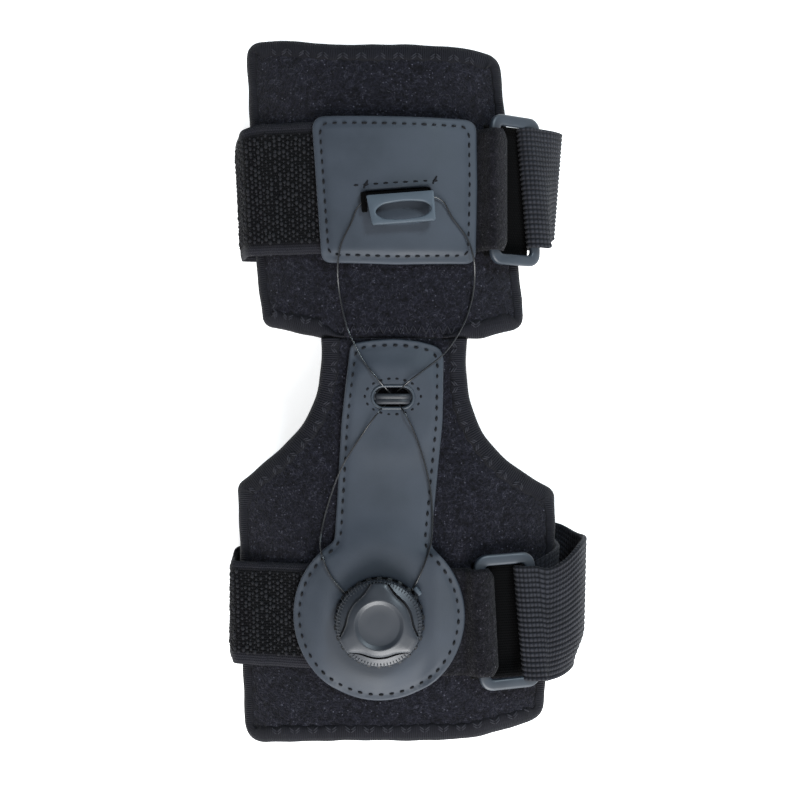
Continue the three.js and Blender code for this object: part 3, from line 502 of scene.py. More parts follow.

# %% [markdown]
# The light comes from the foot end. The sky is bright on that side and dim on the calf side and to both
# sides, so slopes that face the foot shine and slopes that face away go dark. A wide panel at the foot end
# adds to it, and a small bluish window at the upper right draws the shadows. The floor is white and glows a
# little, like a light table, which keeps its shadows faint. It isn't part of the brace. Where the camera
# looks straight at the sky, it sees a pale wall.

# %% Floor and light
FLOOR_SIZE = 3.0
FLOOR_WHITE = (0.92, 0.92, 0.92, 1.0)
FLOOR_GLOW = 0.75
SKY = {"foot": 1.55, "calf": 0.02, "side": 0.7}
SKY_FADE = {"foot": -1.0, "calf": 0.7, "middle": 0.3, "side": 0.95}
SKY_TINT = (0.93, 0.97, 1.0, 1.0)
LIGHTS = table(
    "name place width watts tint",
    ("foot end panel", (0.25, -1.70, 1.30), 1.3, 72.0, (1.0, 1.0, 1.0)),
    ("calf window", (0.75, 0.95, 1.25), 0.4, 20.0, (0.75, 0.9, 1.0)),
)

SCENE.view_settings.view_transform = "Standard"
SCENE.world = bpy.data.worlds.new("sky")
SCENE.world.use_nodes = True
sky_tree = SCENE.world.node_tree
toward = add_node(sky_tree, "ShaderNodeTexCoord").outputs["Generated"]
way = add_node(sky_tree, "ShaderNodeSeparateXYZ", {0: toward}).outputs
softly = {"interpolation_type": "SMOOTHSTEP"}
ends = (SKY_FADE["foot"], SKY_FADE["calf"], SKY["foot"], SKY["calf"])
lengthwise = map_range(sky_tree, way["Y"], *ends, **softly)
aside = math_node(sky_tree, "ABSOLUTE", way["X"])
sideways = map_range(sky_tree, aside, SKY_FADE["middle"], SKY_FADE["side"], 1.0, SKY["side"], **softly)
brightness = math_node(sky_tree, "MULTIPLY", lengthwise, sideways)
seen = add_node(sky_tree, "ShaderNodeLightPath").outputs["Is Camera Ray"]
sky = sky_tree.nodes["Background"]
sky.inputs["Color"].default_value = SKY_TINT
sky_tree.links.new(math_node(sky_tree, "MAXIMUM", brightness, seen), sky.inputs["Strength"])

half = FLOOR_SIZE / 2
floor_mesh = bpy.data.meshes.new("floor")
floor_corners = [(-half, -half, 0), (half, -half, 0), (half, half, 0), (-half, half, 0)]
floor_mesh.from_pydata(floor_corners, [], [(0, 1, 2, 3)])
glow = {"Base Color": FLOOR_WHITE, "Emission Color": FLOOR_WHITE, "Emission Strength": FLOOR_GLOW}
_, _, floor_finish = finish("floor", roughness=0.9, constants=glow)
floor_mesh.materials.append(floor_finish)
floor = bpy.data.objects.new("floor", floor_mesh)
SCENE.collection.objects.link(floor)

for row in LIGHTS:
    light = bpy.data.lights.new(row["name"], "AREA")
    light.size = row["width"]
    light.energy = row["watts"]
    light.color = row["tint"]
    lamp = bpy.data.objects.new(row["name"], light)
    lamp.location = row["place"]
    lamp.rotation_euler = (-lamp.location).to_track_quat("-Z", "Y").to_euler()
    SCENE.collection.objects.link(lamp)
print("lights:", [row["name"] for row in LIGHTS])

# %% [markdown]
# Panels and patches are flat cuts laid on the arch. Each cut is an outline of a few corners with rounded
# turns. A cut is filled with small triangles: rings of points follow its edge, so that the edge can be
# rounded over, and a grid of points fills the middle. Then every point is raised to its height on the body.

# %% Outlines and flat cuts
OUTLINES = {
    "calf": table(
        "x y radius",
        (-32.6, 20.5, 0), (23, 20.2, 0), (29, 20.4, 8), (45.6, 24.8, 6), (36.0, 128.7, 7), (22, 131.5, 25),
        (-28, 131.5, 25), (-48, 134.6, 25), (-62.2, 134.4, 6), (-58.2, 48, 60), (-55.2, 25.2, 5.5),
    ),
    "foot": table(
        "x y radius",
        (22.9, 19.8, 0), (-32.5, 20.1, 0), (-32.4, -8.8, 46), (-65.4, -36, 5.5), (-62.6, -135.6, 9),
        (-26, -132.4, 60), (24, -132.2, 60), (52.8, -126.4, 8), (57.6, -62, 80), (57.4, -38.4, 6),
        (22.2, -18, 48),
    ),
}
CURVE_STEPS = 24
GRID_ROW = 0.866
GRID_CLEAR = 0.6
INSIDE_EDGES = 1
WELD = 1e-6


def unit(vectors):
    return vectors / np.maximum(np.linalg.norm(vectors, axis=-1, keepdims=True), 1e-9)


def rounded_corner(before, corner, after, radius):
    """Points that turn from one straight edge to the next."""
    back, ahead = unit(before - corner), unit(after - corner)
    turn = math.pi - math.acos(float(np.clip(back @ ahead, -1, 1)))
    reach = radius * math.tan(turn / 2)
    if reach == 0:
        return corner[None]
    part = np.linspace(0, 1, CURVE_STEPS)[:, None]
    start, end = corner + back * reach, corner + ahead * reach
    return (1 - part) ** 2 * start + 2 * part * (1 - part) * corner + part**2 * end


def outline_turns(corners, least_radius=0):
    """The rounded turn at each corner of an outline."""
    places = np.array([(corner["x"], corner["y"]) for corner in corners], float)
    neighbours = zip(np.roll(places, 1, axis=0), places, np.roll(places, -1, axis=0), corners)
    return [
        rounded_corner(before, here, after, max(corner["radius"], least_radius))
        for before, here, after, corner in neighbours
    ]


def evenly(points, spacing, closed):
    """The same line with points at even steps."""
    line = np.vstack([points, points[:1]]) if closed else np.asarray(points, float)
    lengths = path_lengths(line)
    count = max(int(round(lengths[-1] / spacing)), 8)
    places = np.linspace(0, lengths[-1], count + 1)
    even = np.column_stack([np.interp(places, lengths, line[:, axis]) for axis in range(line.shape[1])])
    return even[:-1] if closed else even


def inward_normals(line, closed):
    """Unit normals to the left of a line's direction, which point into a cut."""
    if closed:
        along = np.roll(line, -1, axis=0) - np.roll(line, 1, axis=0)
    else:
        along = np.gradient(line, axis=0)
    along = unit(along[:, :2])
    return np.column_stack([-along[:, 1], along[:, 0]])


def inside(points, loop):
    """True for each point that a closed loop goes round."""
    x, y = points[:, 0][:, None], points[:, 1][:, None]
    x0, y0 = loop[:, 0], loop[:, 1]
    x1, y1 = np.roll(x0, -1), np.roll(y0, -1)
    crosses = ((y0 > y) != (y1 > y)) & (x < (x1 - x0) * (y - y0) / np.where(y1 == y0, 1e-9, y1 - y0) + x0)
    return crosses.sum(axis=1) % 2 == 1


def distance_to(points, line):
    """How far each point is from the nearest point of a closely spaced line."""
    gaps = points[:, None, :2] - line[None, :, :2]
    return np.sqrt((gaps**2).sum(axis=2).min(axis=1))


def point_grid(low, high, spacing):
    """Points of an even triangular grid between two corners."""
    points = []
    for i, y in enumerate(np.arange(low[1], high[1], spacing * GRID_ROW)):
        x = np.arange(low[0] + (i % 2) * spacing / 2, high[0], spacing)
        points.append(np.column_stack([x, np.full(len(x), y)]))
    return np.vstack(points)


def fill_cut(outer, holes, spacing, edge_steps):
    """Points, faces and edge loops of a flat cut. Its edges run anticlockwise and its holes clockwise."""
    loops = [outer, *holes]
    points, faces, edges, inner = [], [], [], []
    for loop in loops:
        count, normals = len(loop), inward_normals(loop, True)
        start = len(points)
        for step in edge_steps:
            points.extend((loop + normals * step).tolist())
        for quad in grid_faces(len(edge_steps), count):
            faces.append([start + corner for corner in quad])
        edges.append(np.arange(start, start + count))
        inner.append(np.arange(len(points) - count, len(points)))
    limits = [np.array(points)[ring] for ring in inner]
    lattice = point_grid(outer.min(axis=0), outer.max(axis=0), spacing)
    keep = inside(lattice, limits[0]) & (distance_to(lattice, np.vstack(limits)) > GRID_CLEAR * spacing)
    for limit in limits[1:]:
        keep &= ~inside(lattice, limit)
    places = np.concatenate([*inner, len(points) + np.arange(keep.sum())])
    points = np.vstack([points, lattice[keep]])
    sides, start = [], 0
    for ring in inner:
        count = len(ring)
        sides += [(start + k, start + (k + 1) % count) for k in range(count)]
        start += count
    cut = delaunay_2d_cdt([tuple(p) for p in points[places]], sides, [], INSIDE_EDGES, WELD)
    own = np.array([origin[0] for origin in cut[3]])
    triangles = places[own[np.array(cut[2])]]
    for ring in inner[1:]:
        triangles = triangles[~np.isin(triangles, ring).all(axis=1)]
    faces += triangles.tolist()
    return points, faces, edges


def laid_cut(name, outer, holes, spacing, edge_steps, heights, material):
    """A closed sheet from a flat cut. Heights gives top and bottom from x, y and the way to each edge."""
    flat, faces, edges = fill_cut(outer, holes, spacing, edge_steps)
    reach = [distance_to(flat, flat[edge]) for edge in edges]
    top, bottom = heights(flat[:, 0], flat[:, 1], np.array(reach))
    count = len(flat)
    points = np.vstack([np.column_stack([flat, top]), np.column_stack([flat, bottom])])
    shell = faces + [[corner + count for corner in face[::-1]] for face in faces]
    for edge in edges:
        after = np.roll(edge, -1)
        shell += [[b, a, a + count, b + count] for a, b in zip(edge.tolist(), after.tolist())]
    return make_object(name, points, shell, material)


def rounded_edge(reach, radius):
    """How much lower the surface is near its edge, where it is rounded over."""
    inset = np.clip(1 - reach / radius, 0, 1)
    return radius * (1 - np.sqrt(1 - inset**2))


print("outlines:", list(OUTLINES))

# %% [markdown]
# Each cuff is a thin foam panel under brushed cloth. Its front swells a little between its edges and is
# never quite even, so a few long waves are added to the arch. Real foam is too thin here for a cloth
# simulation to change its shape, so moving the points by a rule does the same work.

# %% Padded panels
PANEL_THICKNESS = 3.4
PANEL_INSET = 1.1
SEAM_INSET = -0.3
PANEL_SPACING = 1.7
PANEL_STEP = 1.4
PANEL_EDGE = [0.0, 0.15, 0.5, 1.0, 1.6]
PANEL_CORNER = 4.5
PANEL_EDGE_RADIUS = 1.5
PANEL_SWELL = 0.22
SWELL_REACH = 12
WAVE_SHARE = 0.6
TAPE_STEP = 1.0
DROOP = {"depth": 1.8, "reach": 7.5}


def bound_path(corners):
    """The outline from the end of the panels' common seam round to its start."""
    turns = outline_turns(corners)
    return evenly(np.vstack([*turns[1:], turns[0]]), TAPE_STEP, False)


def droop(reach):
    """How far a panel hangs down near its bound edge."""
    return DROOP["depth"] * np.clip(1 - reach / DROOP["reach"], 0, 1) ** 2


def soft_waves(x, y):
    """Long uneven waves of about one unit, the same on each run."""
    return (
        np.sin(x / 7.1 + 0.6 * np.sin(y / 13.0)) * np.sin(y / 9.3 + 1.1)
        + 0.6 * np.sin(x / 4.3 + y / 6.1 + 2.0)
        + 0.5 * np.sin(y / 3.9 - x / 8.7)
    ) / 2.1


def panel_heights(corners):
    """A function for the heights of a panel, which hangs down along its bound edge and not at the seam."""
    bound = bound_path(corners)

    def heights(x, y, reaches):
        reach = reaches[0]
        hang = droop(distance_to(np.column_stack([x, y]), bound))
        swell = PANEL_SWELL * (smooth_step(reach, 0, SWELL_REACH) + WAVE_SHARE * soft_waves(x, y))
        top = lifted(x, y, swell) - rounded_edge(reach, PANEL_EDGE_RADIUS) - hang
        bottom = lifted(x, y, -PANEL_THICKNESS) + rounded_edge(reach, PANEL_EDGE_RADIUS) - hang
        return top, bottom

    return heights


def meeting(corners):
    """The same outline, let out at its seam so that the two panels meet there."""
    reach = math.copysign(PANEL_INSET - SEAM_INSET, corners[0]["y"] - corners[4]["y"])
    return [{**corner, "y": corner["y"] + reach} if i < 2 else corner for i, corner in enumerate(corners)]


for name, corners in OUTLINES.items():
    edge = evenly(np.vstack(outline_turns(meeting(corners), PANEL_CORNER)), PANEL_STEP, True)
    edge = edge + inward_normals(edge, True) * PANEL_INSET
    panel = laid_cut(f"{name}_pad", edge, [], PANEL_SPACING, PANEL_EDGE, panel_heights(corners), PILE)
    settle(panel, replaces=[f"{name}_panel"])

# %% [markdown]
# A ribbed tape is folded over the raw edge of each panel. It is a sweep: one closed profile, drawn as the
# tape wraps from the front round to the back, is carried along the outline. The tape's free edge wanders a
# little, because the zigzag seam pulls it in at every stitch.

# %% Edge tape
TAPE_TAPER = 9.0
TAPE_END = 3.0
TAPE_TIP = 0.12
TAPER_HANG = 1.4
TAPE_PROFILE = table(
    "depth height",
    (6.9, -0.15), (6.6, 0.2), (5.6, 0.55), (3.8, 0.9), (2.0, 1.0), (0.9, 0.75), (0.25, 0.2), (0.0, -0.7),
    (0.0, -1.7), (0.0, -2.7), (0.25, -3.6), (0.9, -4.2), (2.0, -4.45), (3.8, -4.35), (5.6, -4.0),
    (6.6, -3.65), (6.9, -3.3), (3.4, -3.4), (1.2, -3.2), (0.9, -1.7), (1.2, -0.2), (3.4, 0.0),
)
SIDE_NARROWING = 0.4
SIDE_TURN = {"start": 0.6, "end": 0.95}
NECK_Y = -38.0
NECK_FADE = 8


def tapering_path(corners):
    """The bound path, with both ends led on along the seam, where the tape narrows to nothing."""
    path = bound_path(corners)
    seam_way = unit(path[0] - path[-1]) * TAPE_TAPER
    return evenly(np.vstack([path[:1] - seam_way, path, path[-1:] + seam_way]), TAPE_STEP, False)


def tape_waves(lengths):
    """How far the seam pulls the tape in, how far it puffs up, and how far its fold strays, along it."""
    pull = 0.3 * np.sin(2 * np.pi * lengths / 5.6) + 0.25 * np.sin(lengths / 4.1 + 1.0)
    puff = 0.10 * np.sin(lengths / 1.9) * np.sin(lengths / 6.7) + 0.12 * np.sin(lengths / 9.0)
    stray = 0.22 * np.sin(lengths / 8.3) * np.sin(lengths / 3.1 + 0.4)
    return pull, puff, stray


def edge_tape(name, corners):
    tapers = name == "calf"
    path = tapering_path(corners) if tapers else bound_path(corners)
    lengths = path_lengths(path)
    from_end = np.minimum(lengths, lengths[-1] - lengths)
    normals = inward_normals(path, False)
    on_cuff = 1 if tapers else smooth_step(NECK_Y - path[:, 1], 0, NECK_FADE)
    on_side = smooth_step(np.abs(normals[:, 0]), SIDE_TURN["start"], SIDE_TURN["end"])
    width = 1 - SIDE_NARROWING * on_cuff * on_side
    hang = smooth_step(from_end, 0, TAPER_HANG * TAPE_TAPER if tapers else TAPE_END)
    if tapers:
        width *= TAPE_TIP + (1 - TAPE_TIP) * hang
    pull, puff, stray = tape_waves(lengths)
    rings = np.zeros((len(path), len(TAPE_PROFILE), 3))
    for j, row in enumerate(TAPE_PROFILE):
        share = row["depth"] / TAPE_PROFILE[0]["depth"]
        depth = (row["depth"] + pull * share) * width + stray * (1 - share)
        side = 1 if row["height"] > -PANEL_THICKNESS / 2 else -1
        place = path + normals * depth[:, None]
        rings[:, j, :2] = place
        height = lifted(place[:, 0], place[:, 1], row["height"] + side * puff)
        rings[:, j, 2] = height - hang * droop(depth)
    points, faces = tube(rings)
    profile = np.array([(row["depth"], row["height"]) for row in TAPE_PROFILE])
    return make_object(f"{name}_edge_tape", points, faces, TAPE, tube_uv(lengths, path_lengths(profile)))


for name, corners in OUTLINES.items():
    settle(edge_tape(name, corners), replaces=[f"{name}_binding"])

# %% [markdown]
# Everything small that repeats, such as stitches, nubs and ribs on a grip, is one Geometry Nodes group. It
# is given bare points that know which way is up and which way is along, and puts a small rounded bump on
# each. A little random scale, with a fixed seed, keeps the bumps from looking stamped.

# %% Repeated bumps
BALL = {"Segments": 8, "Rings": 5, "Radius": 0.5}


def bump_tree():
    sizes = {"Length": 2.0 * MM, "Width": 1.0 * MM, "Height": 1.0 * MM, "Unevenness": 0.1}
    inputs = {"Geometry": None, **sizes, "Seed": 0, "Material": None}
    tree, given = new_group("GeometryNodeTree", "Rounded bumps", inputs, ["Geometry"])
    ball = add_node(tree, "GeometryNodeMeshUVSphere", BALL)
    parts = {"X": given["Length"], "Y": given["Width"], "Z": given["Height"]}
    size = add_node(tree, "ShaderNodeCombineXYZ", parts).outputs[0]
    named = "GeometryNodeInputNamedAttribute"
    up, along = (
        add_node(tree, named, {"Name": label}, data_type="FLOAT_VECTOR").outputs[0]
        for label in ("up", "along")
    )
    align = "FunctionNodeAlignRotationToVector"
    stand = add_node(tree, align, {"Vector": up}, axis="Z").outputs[0]
    turn = add_node(tree, align, {"Rotation": stand, "Vector": along}, axis="X", pivot_axis="Z").outputs[0]
    least = math_node(tree, "SUBTRACT", 1.0, given["Unevenness"])
    most = math_node(tree, "ADD", 1.0, given["Unevenness"])
    limits = {2: least, 3: most, "Seed": given["Seed"]}
    chance = add_node(tree, "FunctionNodeRandomValue", limits, data_type="FLOAT").outputs[1]
    scale = add_node(tree, "ShaderNodeVectorMath", {0: size, "Scale": chance}, operation="SCALE").outputs[0]
    spots = {"Points": given["Geometry"], "Instance": ball.outputs["Mesh"], "Rotation": turn, "Scale": scale}
    made = add_node(tree, "GeometryNodeInstanceOnPoints", spots).outputs[0]
    for kind in ("GeometryNodeRealizeInstances", "GeometryNodeSetShadeSmooth"):
        made = add_node(tree, kind, {"Geometry": made}).outputs[0]
    return put_out(tree, {"Geometry": painted(tree, made, given["Material"])})


BUMPS = bump_tree()


def run_tree(piece, tree, values):
    """Runs a node group on a piece with these inputs and keeps the result as plain mesh."""
    modifier = piece.modifiers.new(tree.name, "NODES")
    modifier.node_group = tree
    for item in tree.interface.items_tree:
        if item.in_out == "INPUT" and item.name in values:
            modifier[item.identifier] = values[item.name]
    bpy.context.view_layer.update()
    ready = piece.evaluated_get(bpy.context.evaluated_depsgraph_get())
    mesh = bpy.data.meshes.new_from_object(ready)
    piece.modifiers.remove(modifier)
    piece.data = mesh
    return piece


def bumps(name, spots, up, along, size, material, unevenness=0.1, seed=1):
    """One piece of many bumps. Size is the length along, the width and the height in millimetres."""
    mesh = bpy.data.meshes.new(name)
    mesh.from_pydata((np.asarray(spots) * MM).tolist(), [], [])
    for label, vectors in (("up", up), ("along", along)):
        mesh.attributes.new(label, "FLOAT_VECTOR", "POINT").data.foreach_set("vector", np.ravel(vectors))
    piece = bpy.data.objects.new(name, mesh)
    SCENE.collection.objects.link(piece)
    length, width, height = (part * MM for part in size)
    values = {"Length": length, "Width": width, "Height": height, "Unevenness": unevenness}
    return run_tree(piece, BUMPS, {**values, "Seed": seed, "Material": material})


print("bump group:", BUMPS.name)

# %% [markdown]
# A strap is known by its path in the plane across the brace, and each path is a short list of rows. A row's
# shift moves it along the brace, because no strap lies quite square. To make the band, the path is worked
# out for many columns across the strap, and each column is thickened to both sides of its path. The columns
# at the two selvages are thinner, which rounds them.

# %% Strap paths
CUFF_SIZES = table(
    "name calf foot",
    ("hookLow", 51.8, -104.2),
    ("hookHigh", 101.4, -65),
    ("hookLean", 0.0, 0.9),
    ("hookRise", 0.0, 2.8),
    ("bulge", 6.6, 5),
    ("pinch", 2.6, 0.0),
    ("webLow", 53.2, -106.6),
    ("webHigh", 99, -66.4),
    ("tuckLeft", -27, -36),
    ("tuckRight", 18, 13),
    ("buckleX", 33.4, 28.3),
    ("buckleY", 76.6, -86.5),
    ("buckleZ", 36.8, 41.4),
    ("buckleTilt", 35, 14),
    ("buckleTurn", 0, 3),
    ("buckleLength", 57, 51),
    # Where the near-black sheet under a buckle ends; the sheet is painted shade.
    ("backingEnd", 46.6, 50.5),
    ("tapeLow", 55.0, -109.2),
    ("tapeHigh", 101.4, -65.6),
    ("tapeTurn", 5, 5),
    ("loopX", 59.8, 70.2),
    ("flare", 1.6, 0.6),
    ("round", 0.0, 4.0),
    ("skew", 3.5, 8.5),
    ("rise", 0.0, 1.0),
    ("foldLow", 4.4, 2.4),
    ("foldHigh", 0.1, 9.2),
    ("tail", 4.2, 12.8),
)
BENDS = {
    "calf": table("part drop shift", (0.45, 3.4, 0.5)),
    "foot": table("part drop shift", (0.1, -1.4, -0.1), (0.45, 1.6, 0.18), (0.8, 7.8, 0.76)),
}
CUFFS = {
    name: {"outline": OUTLINES[name], "bends": BENDS[name], **{row["name"]: row[name] for row in CUFF_SIZES}}
    for name in OUTLINES
}
JOINT_X = -8
FREE_END_X = -24
HOOK_HALF = 1.1
WEB_HALF = 0.9
LOOP_HALF = 0.65
GAP = 0.3
MAIN_FLOOR = 2.1
PROUD = 1.9
BUCKLE = {"width": 24, "bar": 4.25, "end": 4.2, "thickness": 2.6, "corner": 5, "barSpan": 19.5}
BAR_ROOM = 0.6
FLOOR_ROOM = 0.2
SELVAGE_ROUND = 0.8
SELVAGE_THINNING = 0.8


def edges_at(corners, y):
    """The leftmost and rightmost x of an outline at this y."""
    crossings = []
    for a, b in zip(corners, corners[1:] + corners[:1]):
        if (a["y"] > y) != (b["y"] > y):
            crossings.append(a["x"] + (b["x"] - a["x"]) * (y - a["y"]) / (b["y"] - a["y"]))
    return min(crossings), max(crossings)


def on_front(x, y, height):
    return (x, float(lifted(x, y, height)), 0)


def buckle_frame(cuff):
    """The inner and outer bars' middles, the way from one to the other, and the way out of the buckle."""
    tilt = math.radians(cuff["buckleTilt"])
    along = np.array([math.cos(tilt), -math.sin(tilt)])
    out = np.array([math.sin(tilt), math.cos(tilt)])
    inner = np.array([cuff["buckleX"], cuff["buckleZ"]])
    return inner, inner + along * BUCKLE["barSpan"], along, out


def round_bar(cuff, bar, half, y, turn):
    """Gives a function for rows round a bar. Its numbers count half the bar with room for the strap."""
    _, _, along, out = buckle_frame(cuff)
    high = BUCKLE["thickness"] / 2 + half + BAR_ROOM
    wide = BUCKLE["bar"] / 2 + half + BAR_ROOM
    shift = (y - cuff["buckleY"]) * math.tan(math.radians(turn))

    def row(rise, reach):
        x, z = bar + out * (rise * high) + along * (reach * wide)
        return (x - shift, z, 0)

    return row


def hook_path(cuff, y, side):
    left, _ = edges_at(cuff["outline"], y)
    tuck, skew, rise = cuff["tuckLeft"], cuff["skew"], cuff["hookRise"]
    bulge = cuff["bulge"] - side * cuff["hookLean"]
    pinch = cuff["pinch"] * max(side, 0) ** 2
    floor = MAIN_FLOOR + HOOK_HALF
    edge_z = float(front_height(left, y))
    return [
        on_front(tuck, y, 0.6 + HOOK_HALF),
        on_front(0.7 * tuck + 0.3 * left, y, 0.6 + HOOK_HALF),
        on_front(0.4 * tuck + 0.6 * left, y, 0.7 + HOOK_HALF),
        on_front(left + 9, y, PROUD - 0.2 + HOOK_HALF),
        on_front(left + 3.5, y, PROUD + HOOK_HALF),
        (left - 1.8, edge_z + 3.2, -0.5 * pinch),
        (left - 0.7 * bulge, edge_z - 6, -pinch),
        (left - bulge, floor + 7.4, -pinch),
        (left - 0.8 * bulge, floor + 2.6, 0.1 * skew + 0.6 * rise),
        (left + 2.4, floor + 0.3, 0.15 * skew + rise),
        (left + 13, floor, 0.2 * skew + rise),
        (JOINT_X - 12, floor, 0.45 * skew),
        (JOINT_X, floor, 0.55 * skew),
    ]


def webbing_path(cuff, y, side):
    _, right = edges_at(cuff["outline"], y)
    _, outer, _, _ = buckle_frame(cuff)
    skew = cuff["skew"]
    edge = max(right, outer[0] - 3)
    rounding = cuff["round"] * float(smooth_step(-side, 0.4, 1))
    loop = cuff["loopX"] + side * cuff["flare"] - WEB_HALF - rounding
    fold = cuff["foldLow"] + (cuff["foldHigh"] - cuff["foldLow"]) * (side + 1) / 2
    behind = max(cuff["tail"], 1.15 * fold)
    bar = round_bar(cuff, outer, WEB_HALF, y, cuff["tapeTurn"])
    floor = MAIN_FLOOR + WEB_HALF
    if edge > right:
        rising = [(edge + 2.4, 17, cuff["rise"] * skew)]
    else:
        top = float(lifted(right - 3, y, PROUD + WEB_HALF + 0.4))
        rising = [
            (right + 1.0, 19, 0.85 * skew),
            (right + 0.9, 25, 0.7 * skew),
            (right - 3, top, 0.45 * skew),
        ]
    start = outer[0] + 4
    bends = [
        (start + bend["part"] * (loop - start), outer[1] - bend["drop"], bend["shift"] * fold)
        for bend in cuff["bends"]
    ]
    return [
        (JOINT_X + GAP, floor, 0.55 * skew),
        (JOINT_X + 16, floor, 0.65 * skew),
        (edge - 12, floor + 0.4, 0.85 * skew),
        (edge - 1, floor + 4.4, 0.9 * skew),
        *rising,
        bar(-1, 0.16),
        bar(-0.75, -0.9),
        bar(0.2, -1.25),
        bar(0.95, -0.6),
        bar(1.05, 0.7),
        *bends,
        (loop, 16, fold),
        (loop - 2.2, 7.5, 1.05 * fold),
        (loop - 9, 1.6, behind),
        (loop - 18, WEB_HALF, cuff["tail"]),
        (10, WEB_HALF, cuff["tail"]),
        (FREE_END_X, WEB_HALF, cuff["tail"]),
    ]


def loop_path(cuff, y, side):
    inner, _, _, _ = buckle_frame(cuff)
    tuck = cuff["tuckRight"]
    low, high = GAP + LOOP_HALF, 2 * GAP + 3 * LOOP_HALF
    bar = round_bar(cuff, inner, LOOP_HALF, y, cuff["buckleTurn"])
    round_off = 1 - 0.35 * float(smooth_step(abs(side), 0.84, 1))
    return [
        *(on_front(tuck + step, y, low) for step in (0, 4, 9)),
        bar(-1, -0.5),
        bar(-0.9, 0.6 * round_off),
        bar(0, 1.4 * round_off),
        bar(0.9, 0.8 * round_off),
        bar(1.05, -0.9),
        *(on_front(tuck + step, y, high) for step in (9, 4, 0)),
    ]


# The near-black sheet under a buckle's opening is painted shade, laid flat on the panel.
def shade_sheet_path(cuff, y, side):
    near, far = cuff["buckleX"] - 4, cuff["backingEnd"]
    return [on_front(near + part * (far - near), y, 0.5) for part in (0, 0.3, 0.7, 1)]


def strap_columns(cuff, path, ends, grid):
    """Middle points and normals of a strap: one path of points for each column across it."""
    low, high = ends
    middles, normals = [], []
    for y in np.linspace(low, high, grid["columns"]):
        side = 2 * (y - low) / (high - low) - 1
        line = smooth_path(path(cuff, y, side), grid["steps"])
        slope = unit(np.gradient(line[:, :2], axis=0))
        middles.append(np.column_stack([line[:, 0], y + line[:, 2], line[:, 1]]))
        normals.append(np.column_stack([-slope[:, 1], np.zeros(len(line)), slope[:, 0]]))
    return np.stack(middles, axis=1), np.stack(normals, axis=1)


def strap_band(name, middles, normals, half, material, selvage=SELVAGE_ROUND):
    """A closed band round a strap's middle surface. Its UV map is in millimetres, along then across."""
    lengths = path_lengths(middles[:, middles.shape[1] // 2])
    across = path_lengths(middles[0])
    inset = np.clip(1 - np.minimum(across, across[-1] - across) / selvage, 0, 1)
    thick = half * np.sqrt(1 - SELVAGE_THINNING * inset**2)[None, :, None]
    middles = middles.copy()
    middles[:, :, 2] = np.maximum(middles[:, :, 2], half + FLOOR_ROOM)
    outer, inner = middles - normals * thick, middles + normals * thick
    rings = np.concatenate([outer, inner[:, ::-1]], axis=1)
    rings[:, :, 2] = np.maximum(rings[:, :, 2], FLOOR_ROOM)
    points, faces = tube(rings)
    places = np.concatenate([across, across[::-1]])
    return make_object(name, points, faces, material, tube_uv(lengths, places)), lengths, across


def mark_across(band, label, values, rows):
    """Gives each point of a band a number that depends on where it is across the strap."""
    both_faces = np.concatenate([values, values[::-1]])
    numbers = np.concatenate([np.tile(both_faces, rows), [0, 0]])
    band.data.attributes.new(label, "FLOAT", "POINT").data.foreach_set("value", numbers)


print("straps for:", list(CUFFS))

# %% [markdown]
# The wide strap on the left is hook tape. Its nubs stand in staggered rows on a plain ground, each a little
# astray, with a bare selvage along each edge. They are bumps on the outer face, so this cell finds the spots
# and the bump group does the rest.

# %% Hook straps
NUB_PITCH = {"along": 3.3, "across": 0.95}
NUB_STRAY = {"along": 0.16, "across": 0.42}
STRAY_SEED = 5
NUB_SIZE = (1.05, 1.45, 1.1)
NUB_UNEVENNESS = 0.45
NUB_PART = 0.72
NUB_SINK = 0.4
NUB_ROOM = 0.3
SELVAGE = {"low": 5.0, "high": 3.8}
SELVAGE_FADE = {"near": 0.5, "far": 1.5}
HOOK_GRID = {"columns": 24, "steps": 8}


def nub_spots(middles, normals, half):
    """Spots in staggered rows on a strap's outer face, with its normal and direction at each."""
    lengths = path_lengths(middles[:, middles.shape[1] // 2])
    across = path_lengths(middles[0])
    end = lengths[-1] * NUB_PART
    rows = np.arange(0, end, NUB_PITCH["along"])
    columns = np.arange(SELVAGE["low"], across[-1] - SELVAGE["high"], NUB_PITCH["across"])
    fields = (middles - normals * half, -normals, unit(np.gradient(middles, axis=0)))
    found = [[], [], []]
    for k, column in enumerate(columns):
        place = np.interp(column, across, np.arange(len(across)))
        low = min(int(place), len(across) - 2)
        part = place - low
        places = rows + (k % 2) * NUB_PITCH["along"] / 2
        places = places[places < end]
        for field, rows_found in zip(fields, found):
            line = field[:, low] * (1 - part) + field[:, low + 1] * part
            rows_found.append(np.column_stack([np.interp(places, lengths, part_of) for part_of in line.T]))
    spots, ups, alongs = (np.vstack(rows_found) for rows_found in found)
    along, across = np.random.default_rng(STRAY_SEED).uniform(-1, 1, (2, len(spots), 1))
    stray = NUB_STRAY["along"] * along * alongs + NUB_STRAY["across"] * across * np.cross(ups, alongs)
    return spots + stray, ups, alongs


